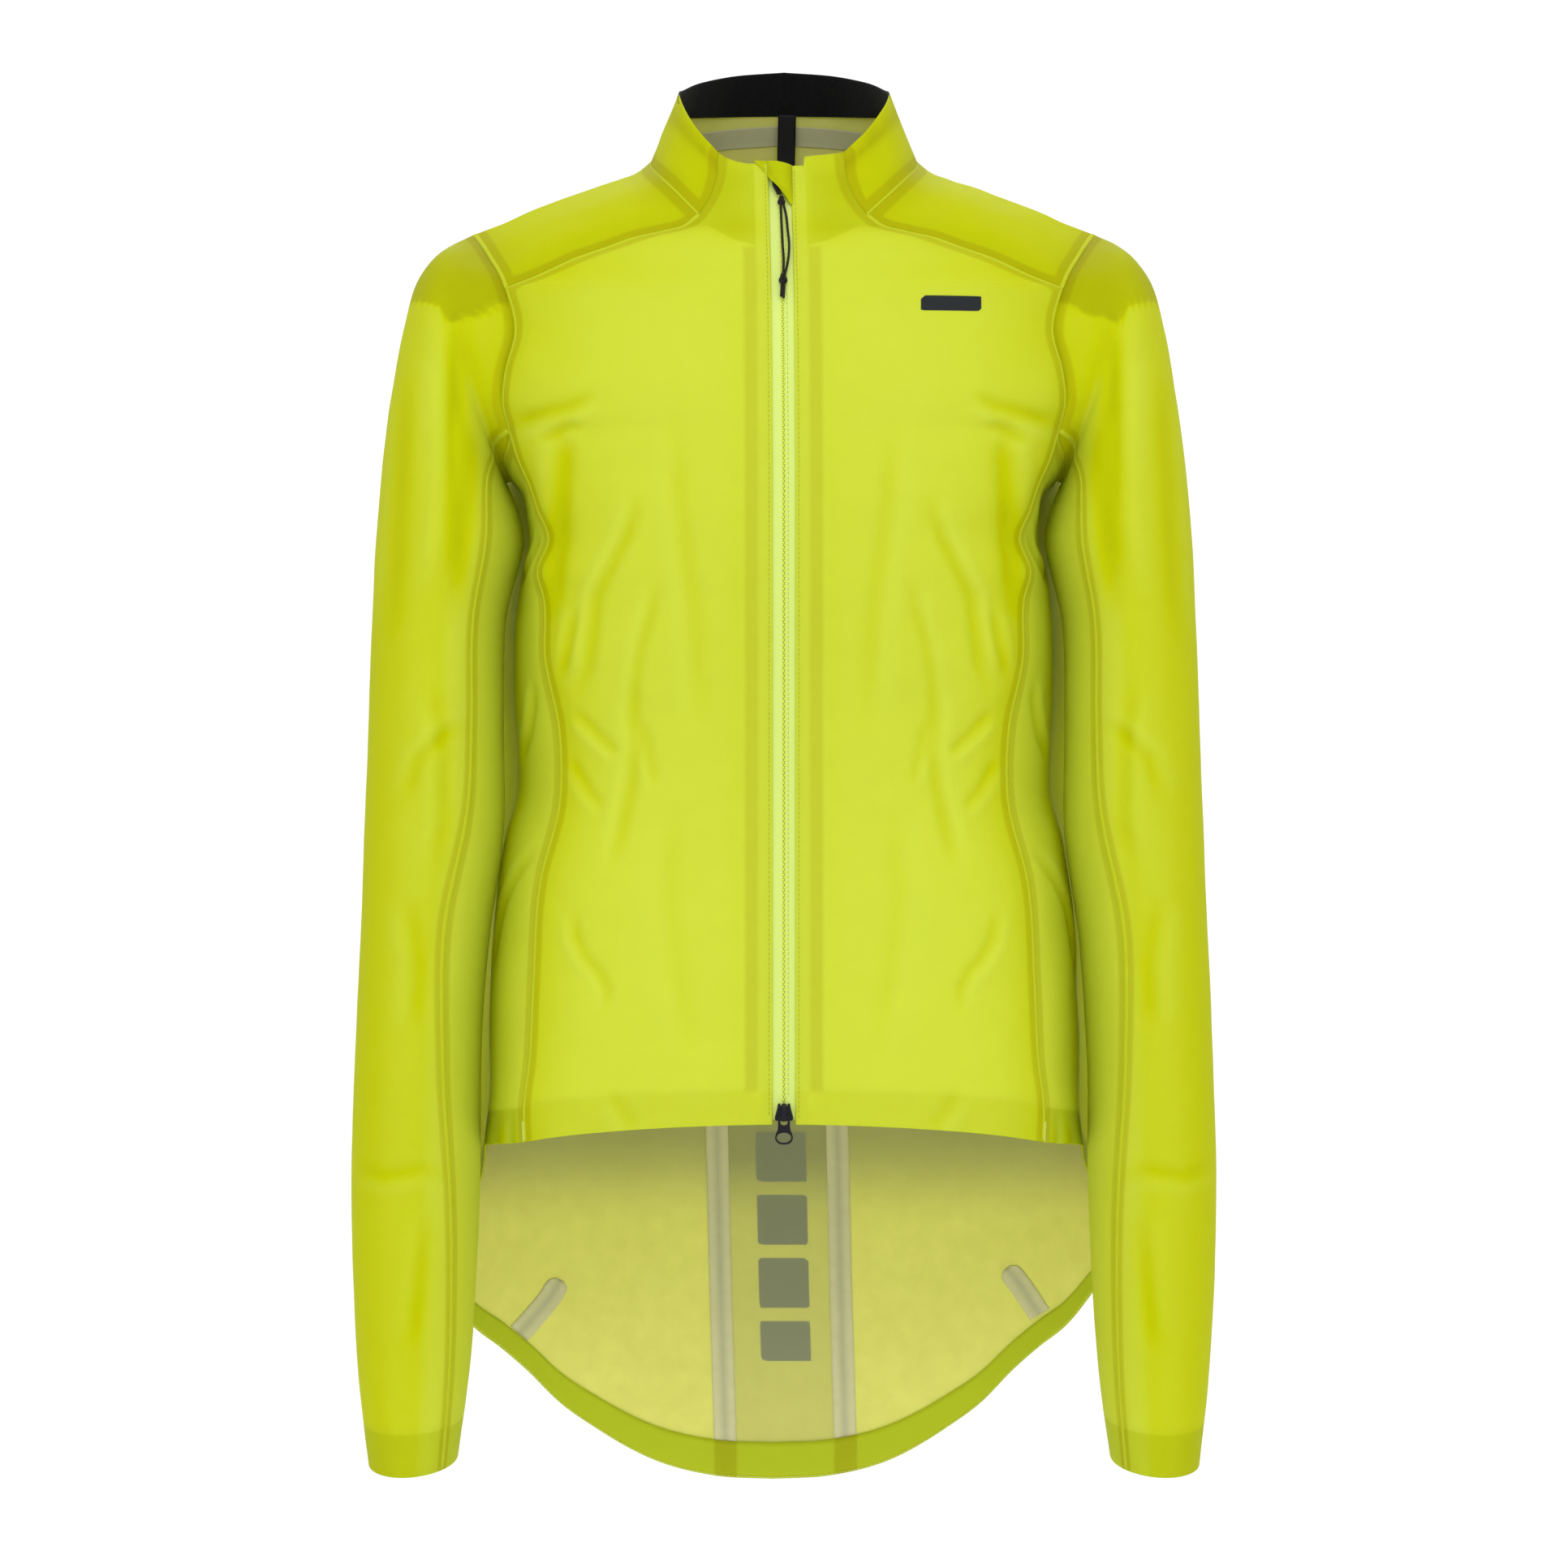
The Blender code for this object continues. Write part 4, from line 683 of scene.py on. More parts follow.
def back_points(station, side):
    """Rows of the back at these stations, from the yoke seam down to the tail's hem."""
    upper = armhole(BACK_TURNS)
    hem = hem_drops(station, side)
    level = np.array([*upper[:, 2], *np.linspace(166, 500, 104)[1:]])[:, None] * np.ones(len(station))
    tail = 500 + (hem - 500) * np.linspace(0, 1, 92)[1:, None]
    drops = np.concatenate([level, tail])
    flank = [*upper[:, :2], *[None] * (len(drops) - len(upper))]
    return np.stack([torso(station, drop, flank=edge) for drop, edge in zip(drops, flank)])


# Painted shade on the tail's inner face just below the front hem, which keeps the light from it.
def hem_shade(drop):
    return 0.85 * eased(505, 545, drop) * eased(625, 560, drop)


BACK_CREASES = [(1.8, 5.0, 0.4, [(150, 190), (120, 205), (90, 206), (62, 196)]),
                (1.8, 5.0, 0.4, [(156, 300), (130, 322), (96, 330), (60, 322)]),
                (1.6, 4.5, 0.4, [(150, 352), (118, 366), (88, 364)]),
                (1.6, 4.5, 0.35, [(156, 250), (132, 268), (104, 272)]),
                (1.4, 6.0, 0.3, [(110, 400), (104, 460), (112, 520)])]
back_cloth, back_edges = {}, {}
for side in ("right", "left"):
    grid = back_points(BACK_STATIONS, side)
    if side == "left":
        grid = mirrored(grid)
    normals = outward(grid)
    half, drop = np.abs(grid[..., 0]), grid[..., 2]
    edges = [finely(grid[:, 0]), finely(grid[:, -1]), finely(grid[0])]
    dart = finely(np.array([[x, 0, down] for x, down in DARTS[side]], float))
    seam_gap = distance_to(grid, edges)
    dart_gap = distance_to(grid * (1, 0, 1), [dart])
    out, deeper = creased(half, drop, BACK_CREASES)
    out = (out + rippled(grid, 1.6, 60) + rippled(grid, 0.4, 17)) * eased(7.5, 22, seam_gap)
    # Painted shade: deeper at the back's outer edge behind the sleeves, where the cloth turns sideways and in
    # the creases' grooves, with painted light on their ridges. The colour is also deeper near the seams.
    shade = eased(155, 172, half) * eased(175, 200, drop) * eased(620, 560, drop)
    tone = (0.2 + 0.5 * np.exp(-(seam_gap / 15) ** 2) + 0.5 * (1 - normals[..., 1] ** 2)
            + deeper + 1.4 * shade)
    fields = {**PLAIN, "tone": tone, "taped": np.minimum(seam_gap, dart_gap) - TAPE_HALF,
              "doubled": (grid[-1:, :, 2] - HEM_BAND) - drop, "shaded": hem_shade(drop)}
    grid = swayed(grid + normals * out[..., None])
    at_sleeve = slice(len(BACK_TURNS))
    back_edges[side] = [(grid[:, -1], normals[:, -1]), (grid[at_sleeve, 0], normals[at_sleeve, 0])]
    back_cloth[side] = grid
    piece = cloth_mesh(f"back_{side}_cloth", grid, (coated_nylon, film_inside), fields=fields)
    belongs(piece, "coated_cloth", "back_" + side)

halves = [back_points(STRIP_STATIONS, side) for side in ("right", "left")]
halves[0][:, -1] = (halves[0][:, -1] + mirrored(halves[1])[:, -1]) / 2
strip_grid = np.concatenate([halves[0], mirrored(halves[1])[:, -2::-1]], axis=1)
edges = [finely(strip_grid[:, 0]), finely(strip_grid[:, -1]), finely(strip_grid[0])]
seam_gap = distance_to(strip_grid, edges)
across, drop = strip_grid[..., 0], strip_grid[..., 2]
bars = np.full(across.shape, NOWHERE)
for top, bottom, half_width in BARS:
    first, last = BARS_MIDDLE - half_width, BARS_MIDDLE + half_width
    bars = np.minimum(bars, in_box(across, drop, first, last, top, bottom))
# The strip's inner face is greyed all over with painted shade, and more below the front hem.
fields = {**PLAIN, "tone": 0.2 + 0.3 * np.exp(-(seam_gap / 12) ** 2), "taped": seam_gap - TAPE_HALF,
          "doubled": (strip_grid[-1:, :, 2] - HEM_BAND) - drop, "printed": bars,
          "shaded": 0.35 + hem_shade(drop)}
strip_grid = swayed(strip_grid)
piece = cloth_mesh("back_strip_cloth", strip_grid, (coated_nylon, film_inside), fields=fields)
belongs(piece, "coated_cloth", "back_centre")


# Yoke. One piece of the same cloth over both shoulders and round the back of the neck. It is seamed and taped
# all round: to the collar, the fronts, the sleeves and, straight across, the back.

# neck station, half width, depth, drop: the seam at the foot of the collar, then the collar's top edge
NECK = [(0, 47.6, -72, 35), (0.12, 63, -53, 18.8), (0.25, 71, -36, 10), (0.42, 77.3, 3, 0),
        (0.58, 75, 37, -8), (0.75, 60, 66, -15), (0.88, 34, 86, -21), (1, 0, 92, -24)]
COLLAR_TOP = [(0, 35.8, -56, -2), (0.12, 48.6, -43.5, -16.3), (0.25, 56.8, -24, -30), (0.42, 61, 5, -42),
              (0.58, 59, 32, -46.8), (0.75, 47, 58, -54.6), (0.88, 27, 75, -60.2), (1, 0, 80, -62.7)]
NECK_STATIONS = (0, 0.1, 0.2, 0.31, 0.42, 0.5, 0.58, 0.66)
YOKE_TURNS = (50, 38, 26, 13, 0, -20, -40, -60)
BACK_CORNER = 0.66
# Painted shade on the inner faces of yoke and collar, inside the neck.
NECK_SHADE = 0.6


def filled(near, far, first, last, u, v):
    """Points at (u, v) of a patch between four edges, which are functions: near and far run along u, where v
    is 0 and 1, and first and last along v, where u is 0 and 1."""
    across, up = u[..., None], v[..., None]
    sides = (1 - up) * near(u) + up * far(u) + (1 - across) * first(v) + across * last(v)
    corners = ((1 - across) * ((1 - up) * near(0) + up * far(0))
               + across * ((1 - up) * near(1) + up * far(1)))
    return sides - corners


def neck_edge(u):
    return on_curve(NECK, u) * (-1, 1, 1)


def collar_edge(u):
    return on_curve(COLLAR_TOP, u) * (-1, 1, 1)


def collar(u, v):
    """Points of the collar's right half: u runs from its front seam to the centre back, and v upwards. It is
    straight from its foot to its edge, but beside its front seam it follows that seam's curve."""
    up = v[..., None]
    seam_bulge = collar_seam(v) - (1 - up) * neck_edge(0) - up * collar_edge(0)
    return (1 - up) * neck_edge(u) + up * collar_edge(u) + (1 - u[..., None]) ** 4 * seam_bulge


def yoke_edge(u):
    """The yoke's outer edge: down the armhole, then along the back seam."""
    arm = armhole(np.interp(u, NECK_STATIONS, YOKE_TURNS))
    behind = torso(np.interp(u, (BACK_CORNER, 0.92, 1), (5, 7, 7.5)), BACK_TOP, flank=armhole(300)[:2])
    return np.where((np.asarray(u) <= BACK_CORNER)[..., None], arm, behind)


def yoke_spine(v):
    """The yoke's line down the centre back."""
    drop = np.interp(v, (0, 1), (neck_edge(1)[2], BACK_TOP))
    bulge = yoke_edge(1)[1] - on_curve(SPINE_Y, BACK_TOP)[0]
    return np.stack([0 * drop, on_curve(SPINE_Y, drop)[..., 0] + v * bulge, drop], -1)


def yoke(u, v):
    """Points of the yoke's right half: u as on the collar, v from the neck outwards."""
    return filled(neck_edge, yoke_edge, yoke_seam, yoke_spine, u, v)


def both_halves(half):
    """The right half's rows, then the left's, with the shared one at the centre back."""
    half = half.copy()
    half[-1, :, 0] = 0
    return np.concatenate([half, mirrored(half)[-2::-1]], axis=0)


around = np.concatenate([np.linspace(0, BACK_CORNER, 66), np.linspace(BACK_CORNER, 1, 36)[1:]])
u, v = np.meshgrid(around, np.linspace(0, 1, 56), indexing="ij")
yoke_grid = both_halves(yoke(u, v)).swapaxes(0, 1)
normals = outward(yoke_grid)
edges = [finely(edge) for edge in (yoke_grid[0], yoke_grid[-1], yoke_grid[:, 0], yoke_grid[:, -1])]
seam_gap = distance_to(yoke_grid, edges)
out = (rippled(yoke_grid, 1.2, 45) + rippled(yoke_grid, 0.4, 15)) * eased(7.5, 20, seam_gap)
fields = {**PLAIN, "tone": 1.0 + 0.4 * np.exp(-(seam_gap / 16) ** 2), "taped": seam_gap - TAPE_HALF,
          "shaded": NECK_SHADE}
yoke_grid = swayed(yoke_grid + normals * out[..., None])
yoke_edges = [(yoke_grid[-1], normals[-1])]
piece = cloth_mesh("yoke_cloth", yoke_grid, (coated_nylon, film_inside), fields=fields)
belongs(piece, "coated_cloth", "yoke")


# Sleeves. Long one-piece sleeves set into the armholes, each with one taped seam that comes forward under the
# arm. The sleeve head is lined with a second layer, whose lower edge shows through.

# outer half width and drop, inner half width and drop, middle depth, half depth of the sleeve's rings
SLEEVE = [(199, 51, 161, 185, -1, 72), (210, 65, 159.5, 187.5, -3, 74), (219.5, 96, 158, 190, -5, 75),
          (226, 133, 156, 194, -8, 76), (231, 172, 152.5, 204, -12, 75), (234.5, 214, 150.5, 219, -16, 74),
          (236.5, 262, 160, 262, -19, 70), (238.5, 320, 161.5, 320, -22, 66), (241, 385, 161.5, 385, -23, 62),
          (243.5, 450, 170, 450, -24, 59), (246.5, 520, 174.5, 520, -24, 57), (248.3, 585, 175, 585, -24, 55),
          (247.3, 645, 177.5, 645, -23, 53), (244, 702, 181.5, 700, -21, 51), (238.8, 748, 188, 745, -20, 48)]
CUFF_DIP = 5.0
CUFF_TURN_UP = 24.0
# half width, drop of the lower edge of the sleeve head's second layer
HEAD_LAYER = [(157, 84), (165, 85), (174, 95), (178.5, 91), (187, 96), (191, 95), (196, 86), (210, 82),
              (240, 78)]
# share of the sleeve's length, turn of its seam
SLEEVE_SEAM = [(0, 115), (0.02, 134), (0.045, 138), (0.08, 134), (0.12, 128), (0.17, 125), (0.25, 126),
               (0.4, 125), (0.52, 112), (0.64, 118), (0.8, 130), (1, 136)]
SLEEVE_CREASES = [
    (3.0, 7.0, 0.6, [(186, 88), (184, 120), (182, 160), (182, 200), (186, 238), (192, 262)]),
    (1.5, 5.0, 0.35, [(214, 120), (216, 170), (218, 220), (222, 280)]),
    (1.4, 4.0, 0.4, [(176, 150), (176, 190), (180, 232), (186, 270)]),
    (1.6, 5.0, 0.35, [(196, 300), (190, 340), (190, 380), (196, 410)]),
    (1.4, 4.0, 0.35, [(176, 322), (190, 330), (206, 345), (214, 370)]),
    (1.5, 5.0, 0.35, [(212, 420), (206, 460), (208, 500)]),
    (1.5, 4.0, 0.3, [(246, 574), (226, 580), (204, 576), (184, 584)]),
    (1.2, 5.0, 0.3, [(200, 600), (204, 640), (210, 680)]),
]
# Patches of painted shade and painted light, as on the fronts.
SLEEVE_SHADING_PATCHES = [(200, 130, 12, 70, -0.3), (240, 300, 12, 300, 0.15), (184, 160, 12, 80, 0.5),
                (206, 420, 18, 120, -0.2), (206, 660, 20, 60, 0.15)]


def sleeve_points(turns):
    """Rings from the armhole to the cuff, with points at these turns."""
    angle = np.radians(turns)[:, None]
    rings = [armhole(turns)]
    for outer_x, outer_drop, inner_x, inner_drop, middle_y, half_depth in SLEEVE:
        outer = np.array([-outer_x, middle_y, outer_drop])
        inner = np.array([-inner_x, middle_y, inner_drop])
        rings.append((outer + inner) / 2 + np.cos(angle) * (outer - inner) / 2
                     - np.sin(angle) * np.array([0, half_depth, 0]))
    grid = np.stack(rings)
    grid[-1, :, 2] += CUFF_DIP * np.clip(np.sin(angle[:, 0]), 0, 1)
    away = 0.9 * (1 - np.cos(angle[:, 0])) / 2
    way = grid[1] - grid[0]
    grid[0] += way / np.linalg.norm(way, axis=-1, keepdims=True) * away[:, None]
    far = np.concatenate([[0], np.cumsum(np.linalg.norm(np.diff(grid, axis=0), axis=-1).mean(axis=1))])
    fine = np.linspace(0, far[-1], 240)
    smooth = on_curve(np.concatenate([far[:, None], grid.reshape(len(far), -1)], axis=1), fine)
    return smooth.reshape(len(fine), len(turns), 3)


TURNS = np.linspace(0, 360, 116, endpoint=False)
sleeve_seams = []
for side, turned in SIDES:
    grid = sleeve_points(TURNS) * (-turned, 1, 1)
    at = on_curve(SLEEVE_SEAM, np.linspace(0, 1, len(grid)))[:, 0] / 360 * len(TURNS)
    low = at.astype(int)
    rows = np.arange(len(grid))
    seam = grid[rows, low] + (grid[rows, low + 1] - grid[rows, low]) * (at - low)[:, None]
    normals = outward(grid, closed=True)
    half, drop = np.abs(grid[..., 0]), grid[..., 2]
    rim_gap = distance_to(grid, [finely(np.vstack([grid[0], grid[0, :1]]))])
    line_gap = distance_to(grid, [finely(seam)])
    seam_gap = np.minimum(rim_gap, line_gap)
    frontal = eased(-0.1, 0.35, -normals[..., 1])
    body_facing_painted_light = eased(0.15, 0.75, normals[..., 0] * -turned)
    out, deeper = creased(half, drop, SLEEVE_CREASES)
    behind_out, behind_deeper = creased(half + 6, drop - 20, SLEEVE_CREASES)
    out = frontal * out + 0.6 * (1 - frontal) * behind_out
    deeper = frontal * deeper + 0.6 * (1 - frontal) * behind_deeper
    from_cuff = grid[-1:, :, 2] - drop
    out += rippled(grid, 1.6, 55) + rippled(grid, 0.4, 17)
    out *= eased(2, 16, seam_gap) * eased(2, 14, from_cuff)
    out *= 1 - 0.7 * eased(0.2, 0.8, np.abs(normals[..., 0]))
    # Painted shade: deeper where the sleeve turns sideways, in patches and in the creases' grooves; painted
    # light on their ridges and where the sleeve faces the body, to lighten the shade between sleeve and body.
    # Also deeper near the seam.
    tone = (0.7 + 0.25 * np.exp(-(seam_gap / 14) ** 2) + 0.25 * eased(0.35, 0.95, np.abs(normals[..., 0]))
            - 0.9 * body_facing_painted_light + frontal * blotches(half, drop, SLEEVE_SHADING_PATCHES) + deeper)
    head = drop - np.interp(half, *zip(*HEAD_LAYER))
    tone = tone + 0.9 * eased(1.0, -1.0, head)
    fields = {**PLAIN, "tone": tone, "taped": np.minimum(rim_gap + 0.5, line_gap + 1.3) - TAPE_HALF,
              "doubled": np.minimum(head, from_cuff - CUFF_TURN_UP)}
    grid = grid + normals * out[..., None]
    seam = grid[rows, low] + (grid[rows, low + 1] - grid[rows, low]) * (at - low)[:, None]
    sleeve_seams.append((seam, normals[rows, low]))
    grid, normals, fields = turned_in(grid, normals, fields, CUFF_TURN_UP)
    finishes = (coated_nylon, film_inside)
    piece = cloth_mesh(f"sleeve_{side}_cloth", grid, finishes, closed=True, fields=fields)
    belongs(piece, "coated_cloth", "sleeve_" + side)


# Collar. A stand collar of the same cloth, cut in one round the back and folded over at its top edge. It is
# sewn and taped to the yoke and to the collar fronts, and its colour is deeper in a soft band along its
# lining's lower edge.

# share of the way from front seam to centre back, share of the height where the lining's lower edge is
COLLAR_LINING = [(0.1, 0.74), (0.3, 0.7), (0.5, 0.65), (0.6, 0.59), (0.75, 0.5), (0.88, 0.415), (1, 0.37)]
u, v = np.meshgrid(np.linspace(0, 1, 100), np.linspace(0, 1, 38), indexing="ij")
below = on_curve(COLLAR_LINING, np.maximum(u, 0.1))[..., 0] - v
collar_grid = both_halves(collar(u, v)).swapaxes(0, 1)[::-1]
below = 40 * np.concatenate([below, below[-2::-1]]).T[::-1]
normals = outward(collar_grid)
edges = [finely(collar_grid[-1]), finely(collar_grid[:, 0]), finely(collar_grid[:, -1])]
seam_gap = distance_to(collar_grid, edges)
out = rippled(collar_grid, 0.8, 30) * eased(8.5, 18, seam_gap)
tone = 1.15 + 0.2 * np.exp(-(seam_gap / 10) ** 2) + 0.6 * np.exp(-((below + 2) / 5) ** 2)
fields = {**PLAIN, "tone": tone, "taped": seam_gap - TAPE_HALF, "shaded": NECK_SHADE}
collar_grid = swayed(collar_grid + normals * out[..., None])
collar_edges = [(collar_grid[-1], normals[-1])]
piece = cloth_mesh("collar_cloth", collar_grid, (coated_nylon, film_inside), fields=fields)
belongs(piece, "coated_cloth", "collar")


# Seams. The turnings of each seam are laid together inside and taped over, so that they stand up outside as a
# low pale rib between the two halves of the tape's darker band.

RIB_HALF, RIB_HEIGHT = 1.8, 0.5
RIB = np.array([(-1, -0.6), (-0.8, 0.5), (-0.3, 1), (0.3, 1), (0.8, 0.5), (1, -0.6)]) * (RIB_HALF, RIB_HEIGHT)


def rib(points, normals, profile):
    """A closed rib along a line: its profile has rows of (aside, outwards)."""
    normals = np.broadcast_to(normals, points.shape)
    along = np.gradient(points, axis=0)
    aside = np.cross(along, normals)
    aside /= np.linalg.norm(aside, axis=-1, keepdims=True) + 1e-12
    ring = points[:, None] + aside[:, None] * profile[None, :, :1] + normals[:, None] * profile[None, :, 1:]
    rows, columns = ring.shape[:2]
    faces = [[r * columns + c, r * columns + (c + 1) % columns, (r + 1) * columns + (c + 1) % columns,
              (r + 1) * columns + c] for r in range(rows - 1) for c in range(columns)]
    faces += [list(range(columns)), [(rows - 1) * columns + c for c in reversed(range(columns))]]
    return ring.reshape(-1, 3), faces


def joined(name, parts, finish, fields=None, smooth=True):
    """One mesh of several closed shapes, each a pair of its points and faces."""
    points, faces = [], []
    for part_points, part_faces in parts:
        faces += [[corner + len(points) for corner in face] for face in part_faces]
        points += (np.asarray(part_points) * (MM, MM, -MM)).tolist()
    mesh = bpy.data.meshes.new(name)
    mesh.from_pydata(points, [], faces)
    shape = bmesh.new()
    shape.from_mesh(mesh)
    bmesh.ops.recalc_face_normals(shape, faces=shape.faces)
    shape.to_mesh(mesh)
    shape.free()
    if smooth:
        mesh.shade_smooth()
    for field, value in (fields or {}).items():
        stored = mesh.attributes.new(field, "FLOAT", "POINT")
        stored.data.foreach_set("value", np.full(len(points), value, np.float32))
    mesh.materials.append(finish)
    piece = bpy.data.objects.new(name, mesh)
    scene.collection.objects.link(piece)
    return piece


BY_COLLAR = len(FRONT_SEAM_PARTS[0])  # points of a front's edge beside the collar
seam_lines = {"front_seams_right": [[values[BY_COLLAR:] for values in front_edges["right"]]],
              "front_seams_left": [[values[BY_COLLAR:] for values in front_edges["left"]]],
              "side_seams_right": side_edges["right"], "side_seams_left": side_edges["left"],
              "back_seams_right": back_edges["right"], "back_seams_left": back_edges["left"],
              "shoulder_seam": yoke_edges, "neck_seam": collar_edges,
              "sleeve_seam_right": sleeve_seams[:1], "sleeve_seam_left": sleeve_seams[1:]}
rib_fields = {**PLAIN, "tone": 0.6}
for name, lines in seam_lines.items():
    ribs = [rib(points, normals, RIB * (0.6 if name == "neck_seam" else 1.0)) for points, normals in lines]
    belongs(joined(name, ribs, coated_nylon, rib_fields), "coated_cloth")
for side, (points, normals) in front_edges.items():
    crease = rib(points[:BY_COLLAR + 1], normals[:BY_COLLAR + 1], RIB * (0.3, 0.4))
    fields = {**PLAIN, "tone": 2.0, "taped": -NOWHERE}
    belongs(joined("collar_seam_" + side, [crease], coated_nylon, fields), "coated_cloth")


# Tapes. Thin grey waterproof tape, bonded by heat over the seams and darts inside, and over the turnings
# beside the zip. The hem band covers the lower ends of the back's tapes.

TAPE, TAPE_INSET = 0.2, 0.42  # thickness, and how far its middle lies inside the cloth's middle
NECK_TAPE = (0.024, 0.23)  # its share of the yoke below the neck seam, and of the collar above


def on_cloth(grid, across, drop):
    """Points of a cloth's grid at x and drop."""
    across, drop = np.broadcast_arrays(np.asarray(across, float), np.asarray(drop, float))
    rows = [row[np.argsort(row[:, 0])] for row in grid]
    middles = np.array([row[:, 2].mean() for row in rows])
    depth = np.empty(across.shape)
    for at in np.ndindex(across.shape):
        near = np.flatnonzero(np.abs(middles - drop[at]) < 60)
        levels = [np.interp(across[at], rows[i][:, 0], rows[i][:, 2]) for i in near]
        depths = [np.interp(across[at], rows[i][:, 0], rows[i][:, 1]) for i in near]
        depth[at] = np.interp(drop[at], levels, depths)
    return np.stack([across, depth, drop], -1)


def inwards(grid, by):
    return grid - by * outward(grid)


# A woven face with melted glue at its edges: matt, a little mottled, and it lets some light through. It is
# greyer over the thick turnings of a seam, and the neck's tape is greyed all over with painted shade.
bonded_tape, tree, surface = new_finish(
    "bonded_seam_tape_grey", {"Roughness": 0.65, "Specular IOR Level": 0.2})
place = node(tree, "ShaderNodeTexCoord").outputs["Object"]
cloudy = node(tree, "ShaderNodeTexNoise", None, {"Vector": place, "Scale": 1 / (6 * MM), "Detail": 4.0})
tone = node(tree, "ShaderNodeAttribute", {"attribute_name": "tone"})
colour = linear("D8D5A4")
for share, next_colour in ((cloudy, "E6E3B6"), (tone, "9C9C84")):
    mixed = node(tree, "ShaderNodeMix", MIXED, {0: share.outputs["Fac"], 6: colour, 7: linear(next_colour)})
    colour = mixed.outputs[2]
tree.links.new(colour, surface.inputs["Base Color"])
weave = node(tree, "ShaderNodeTexNoise", None, {"Vector": place, "Scale": 1 / (GRAIN * MM), "Detail": 2.0})
bump = node(tree, "ShaderNodeBump", None,
            {"Strength": 0.3, "Distance": 0.1 * MM, "Height": weave.outputs["Fac"]})
tree.links.new(bump.outputs["Normal"], surface.inputs["Normal"])
through = node(tree, "ShaderNodeBsdfTranslucent", None, {"Color": colour})
both = node(tree, "ShaderNodeMixShader", None, {0: 0.3, 1: surface.outputs[0], 2: through.outputs[0]})
tree.links.new(both.outputs[0], tree.nodes["Material Output"].inputs["Surface"])

whole_back = np.concatenate([back_cloth["right"], strip_grid[:, 1:], back_cloth["left"][:, -2::-1]], axis=1)
for side, turned in SIDES:
    rows = []
    for row in whole_back:
        seam_x = row[{"right": BACK_STATIONS.size - 1, "left": -BACK_STATIONS.size}[side], 0]
        at = seam_x + SEAM_TAPE * np.linspace(-0.5, 0.5, 9)
        rows.append(np.stack([at, *(np.interp(at, row[:, 0], row[:, k]) for k in (1, 2))], -1))
    grid = inwards(np.stack(rows)[2:-2], TAPE_INSET)
    turnings = {"tone": 0.35 * np.exp(-(np.linspace(-SEAM_TAPE / 2, SEAM_TAPE / 2, 9) / 2.2) ** 2)}
    piece = cloth_mesh(f"back_tape_{side}_bonded", grid, (bonded_tape,), TAPE, fields=turnings)
    belongs(piece, "seam_tape", "back_tape_" + side)

    line = np.array(DARTS[side], float)
    line = on_curve(np.column_stack([np.linspace(0, 1, len(line)), line]), np.linspace(0, 1, 16))
    along = np.gradient(line, axis=0)
    aside = np.stack([-along[:, 1], along[:, 0]], -1) / np.linalg.norm(along, axis=-1, keepdims=True)
    rounded = np.sqrt(1 - np.clip(1 - 6 * np.linspace(0.01, 1, 16), 0, 1) ** 2)
    width = SEAM_TAPE * rounded[:, None, None] * np.linspace(-0.5, 0.5, 9)[None, :, None]
    flat = line[:, None] + aside[:, None] * width
    grid = inwards(on_cloth(whole_back, flat[..., 0], flat[..., 1]), TAPE_INSET)
    piece = cloth_mesh(f"dart_tape_{side}_bonded", grid, (bonded_tape,), TAPE, fields=turnings)
    belongs(piece, "seam_tape", "dart_tape_" + side)

    front = front_cloth[side]
    drops = front[:, 0, 2]
    rows = (drops > PLACKET_DROPS[0]) & (drops < PLACKET_DROPS[1])
    at = turned * np.linspace(PLACKET[0], PLACKET[1], 5)
    strip = [np.stack([at, *(np.interp(at * turned, row[:14, 0] * turned, row[:14, k]) for k in (1, 2))], -1)
             for row in front[rows]]
    grid = inwards(np.stack(strip), TAPE_INSET + 0.05)
    piece = cloth_mesh(f"placket_tape_{side}_bonded", grid, (bonded_tape,), TAPE, fields={"tone": 0.0})
    belongs(piece, "seam_tape", "placket_tape_" + side)

around = np.linspace(0.1, 1, 90)
below = [yoke(around, share + 0 * around) for share in np.linspace(NECK_TAPE[0], 0.004, 6)]
above = [collar(around, share + 0 * around) for share in np.linspace(0.012, NECK_TAPE[1], 12)]
grid = inwards(both_halves(np.stack(below + above, axis=1)).swapaxes(0, 1), TAPE_INSET + 0.1)
# Painted shade: the neck's tape is greyed all over.
piece = cloth_mesh("neck_tape_bonded", grid, (bonded_tape,), TAPE, fields={"tone": 0.7})
belongs(piece, "seam_tape", "neck_tape")


# Hem bars. A short bar of close stitches over each front seam at the hem, which holds the end of the elastic
# that gathers the side.

BAR_STITCHES = (549.5, 561, 0.75)  # first and last drop, and from one stitch to the next
BAR_PROFILE = np.array([(-0.26, -0.3), (0, 0.2), (0.26, -0.3)])
# Spun polyester thread: pale lime, soft shine.
THREAD_SHINE = {"Roughness": 0.5, "Specular IOR Level": 0.2}
thread, tree, surface = new_finish(
    "polyester_thread_lime", {"Base Color": linear("E6EF84"), **THREAD_SHINE})
for side, (points, normals) in front_edges.items():
    bars = []
    for drop in np.arange(*BAR_STITCHES):
        middle = np.array([np.interp(drop, points[60:, 2], points[60:, k]) for k in range(3)])
        across = np.array([-0.9, -0.4, 0.4, 0.9])[:, None] * (1, 0, 0)
        lift = np.array([0.45, 0.85, 0.85, 0.45])[:, None] * normals[-10]
        bars.append(rib(middle + across + lift, normals[-10], BAR_PROFILE))
    belongs(joined("hem_bar_" + side, bars, thread), "coated_cloth")


# Tail hem. The tail's edge is folded in and laid up inside as a bright yellow band, over the ends of the
# tapes. It is stitched close to its edge.

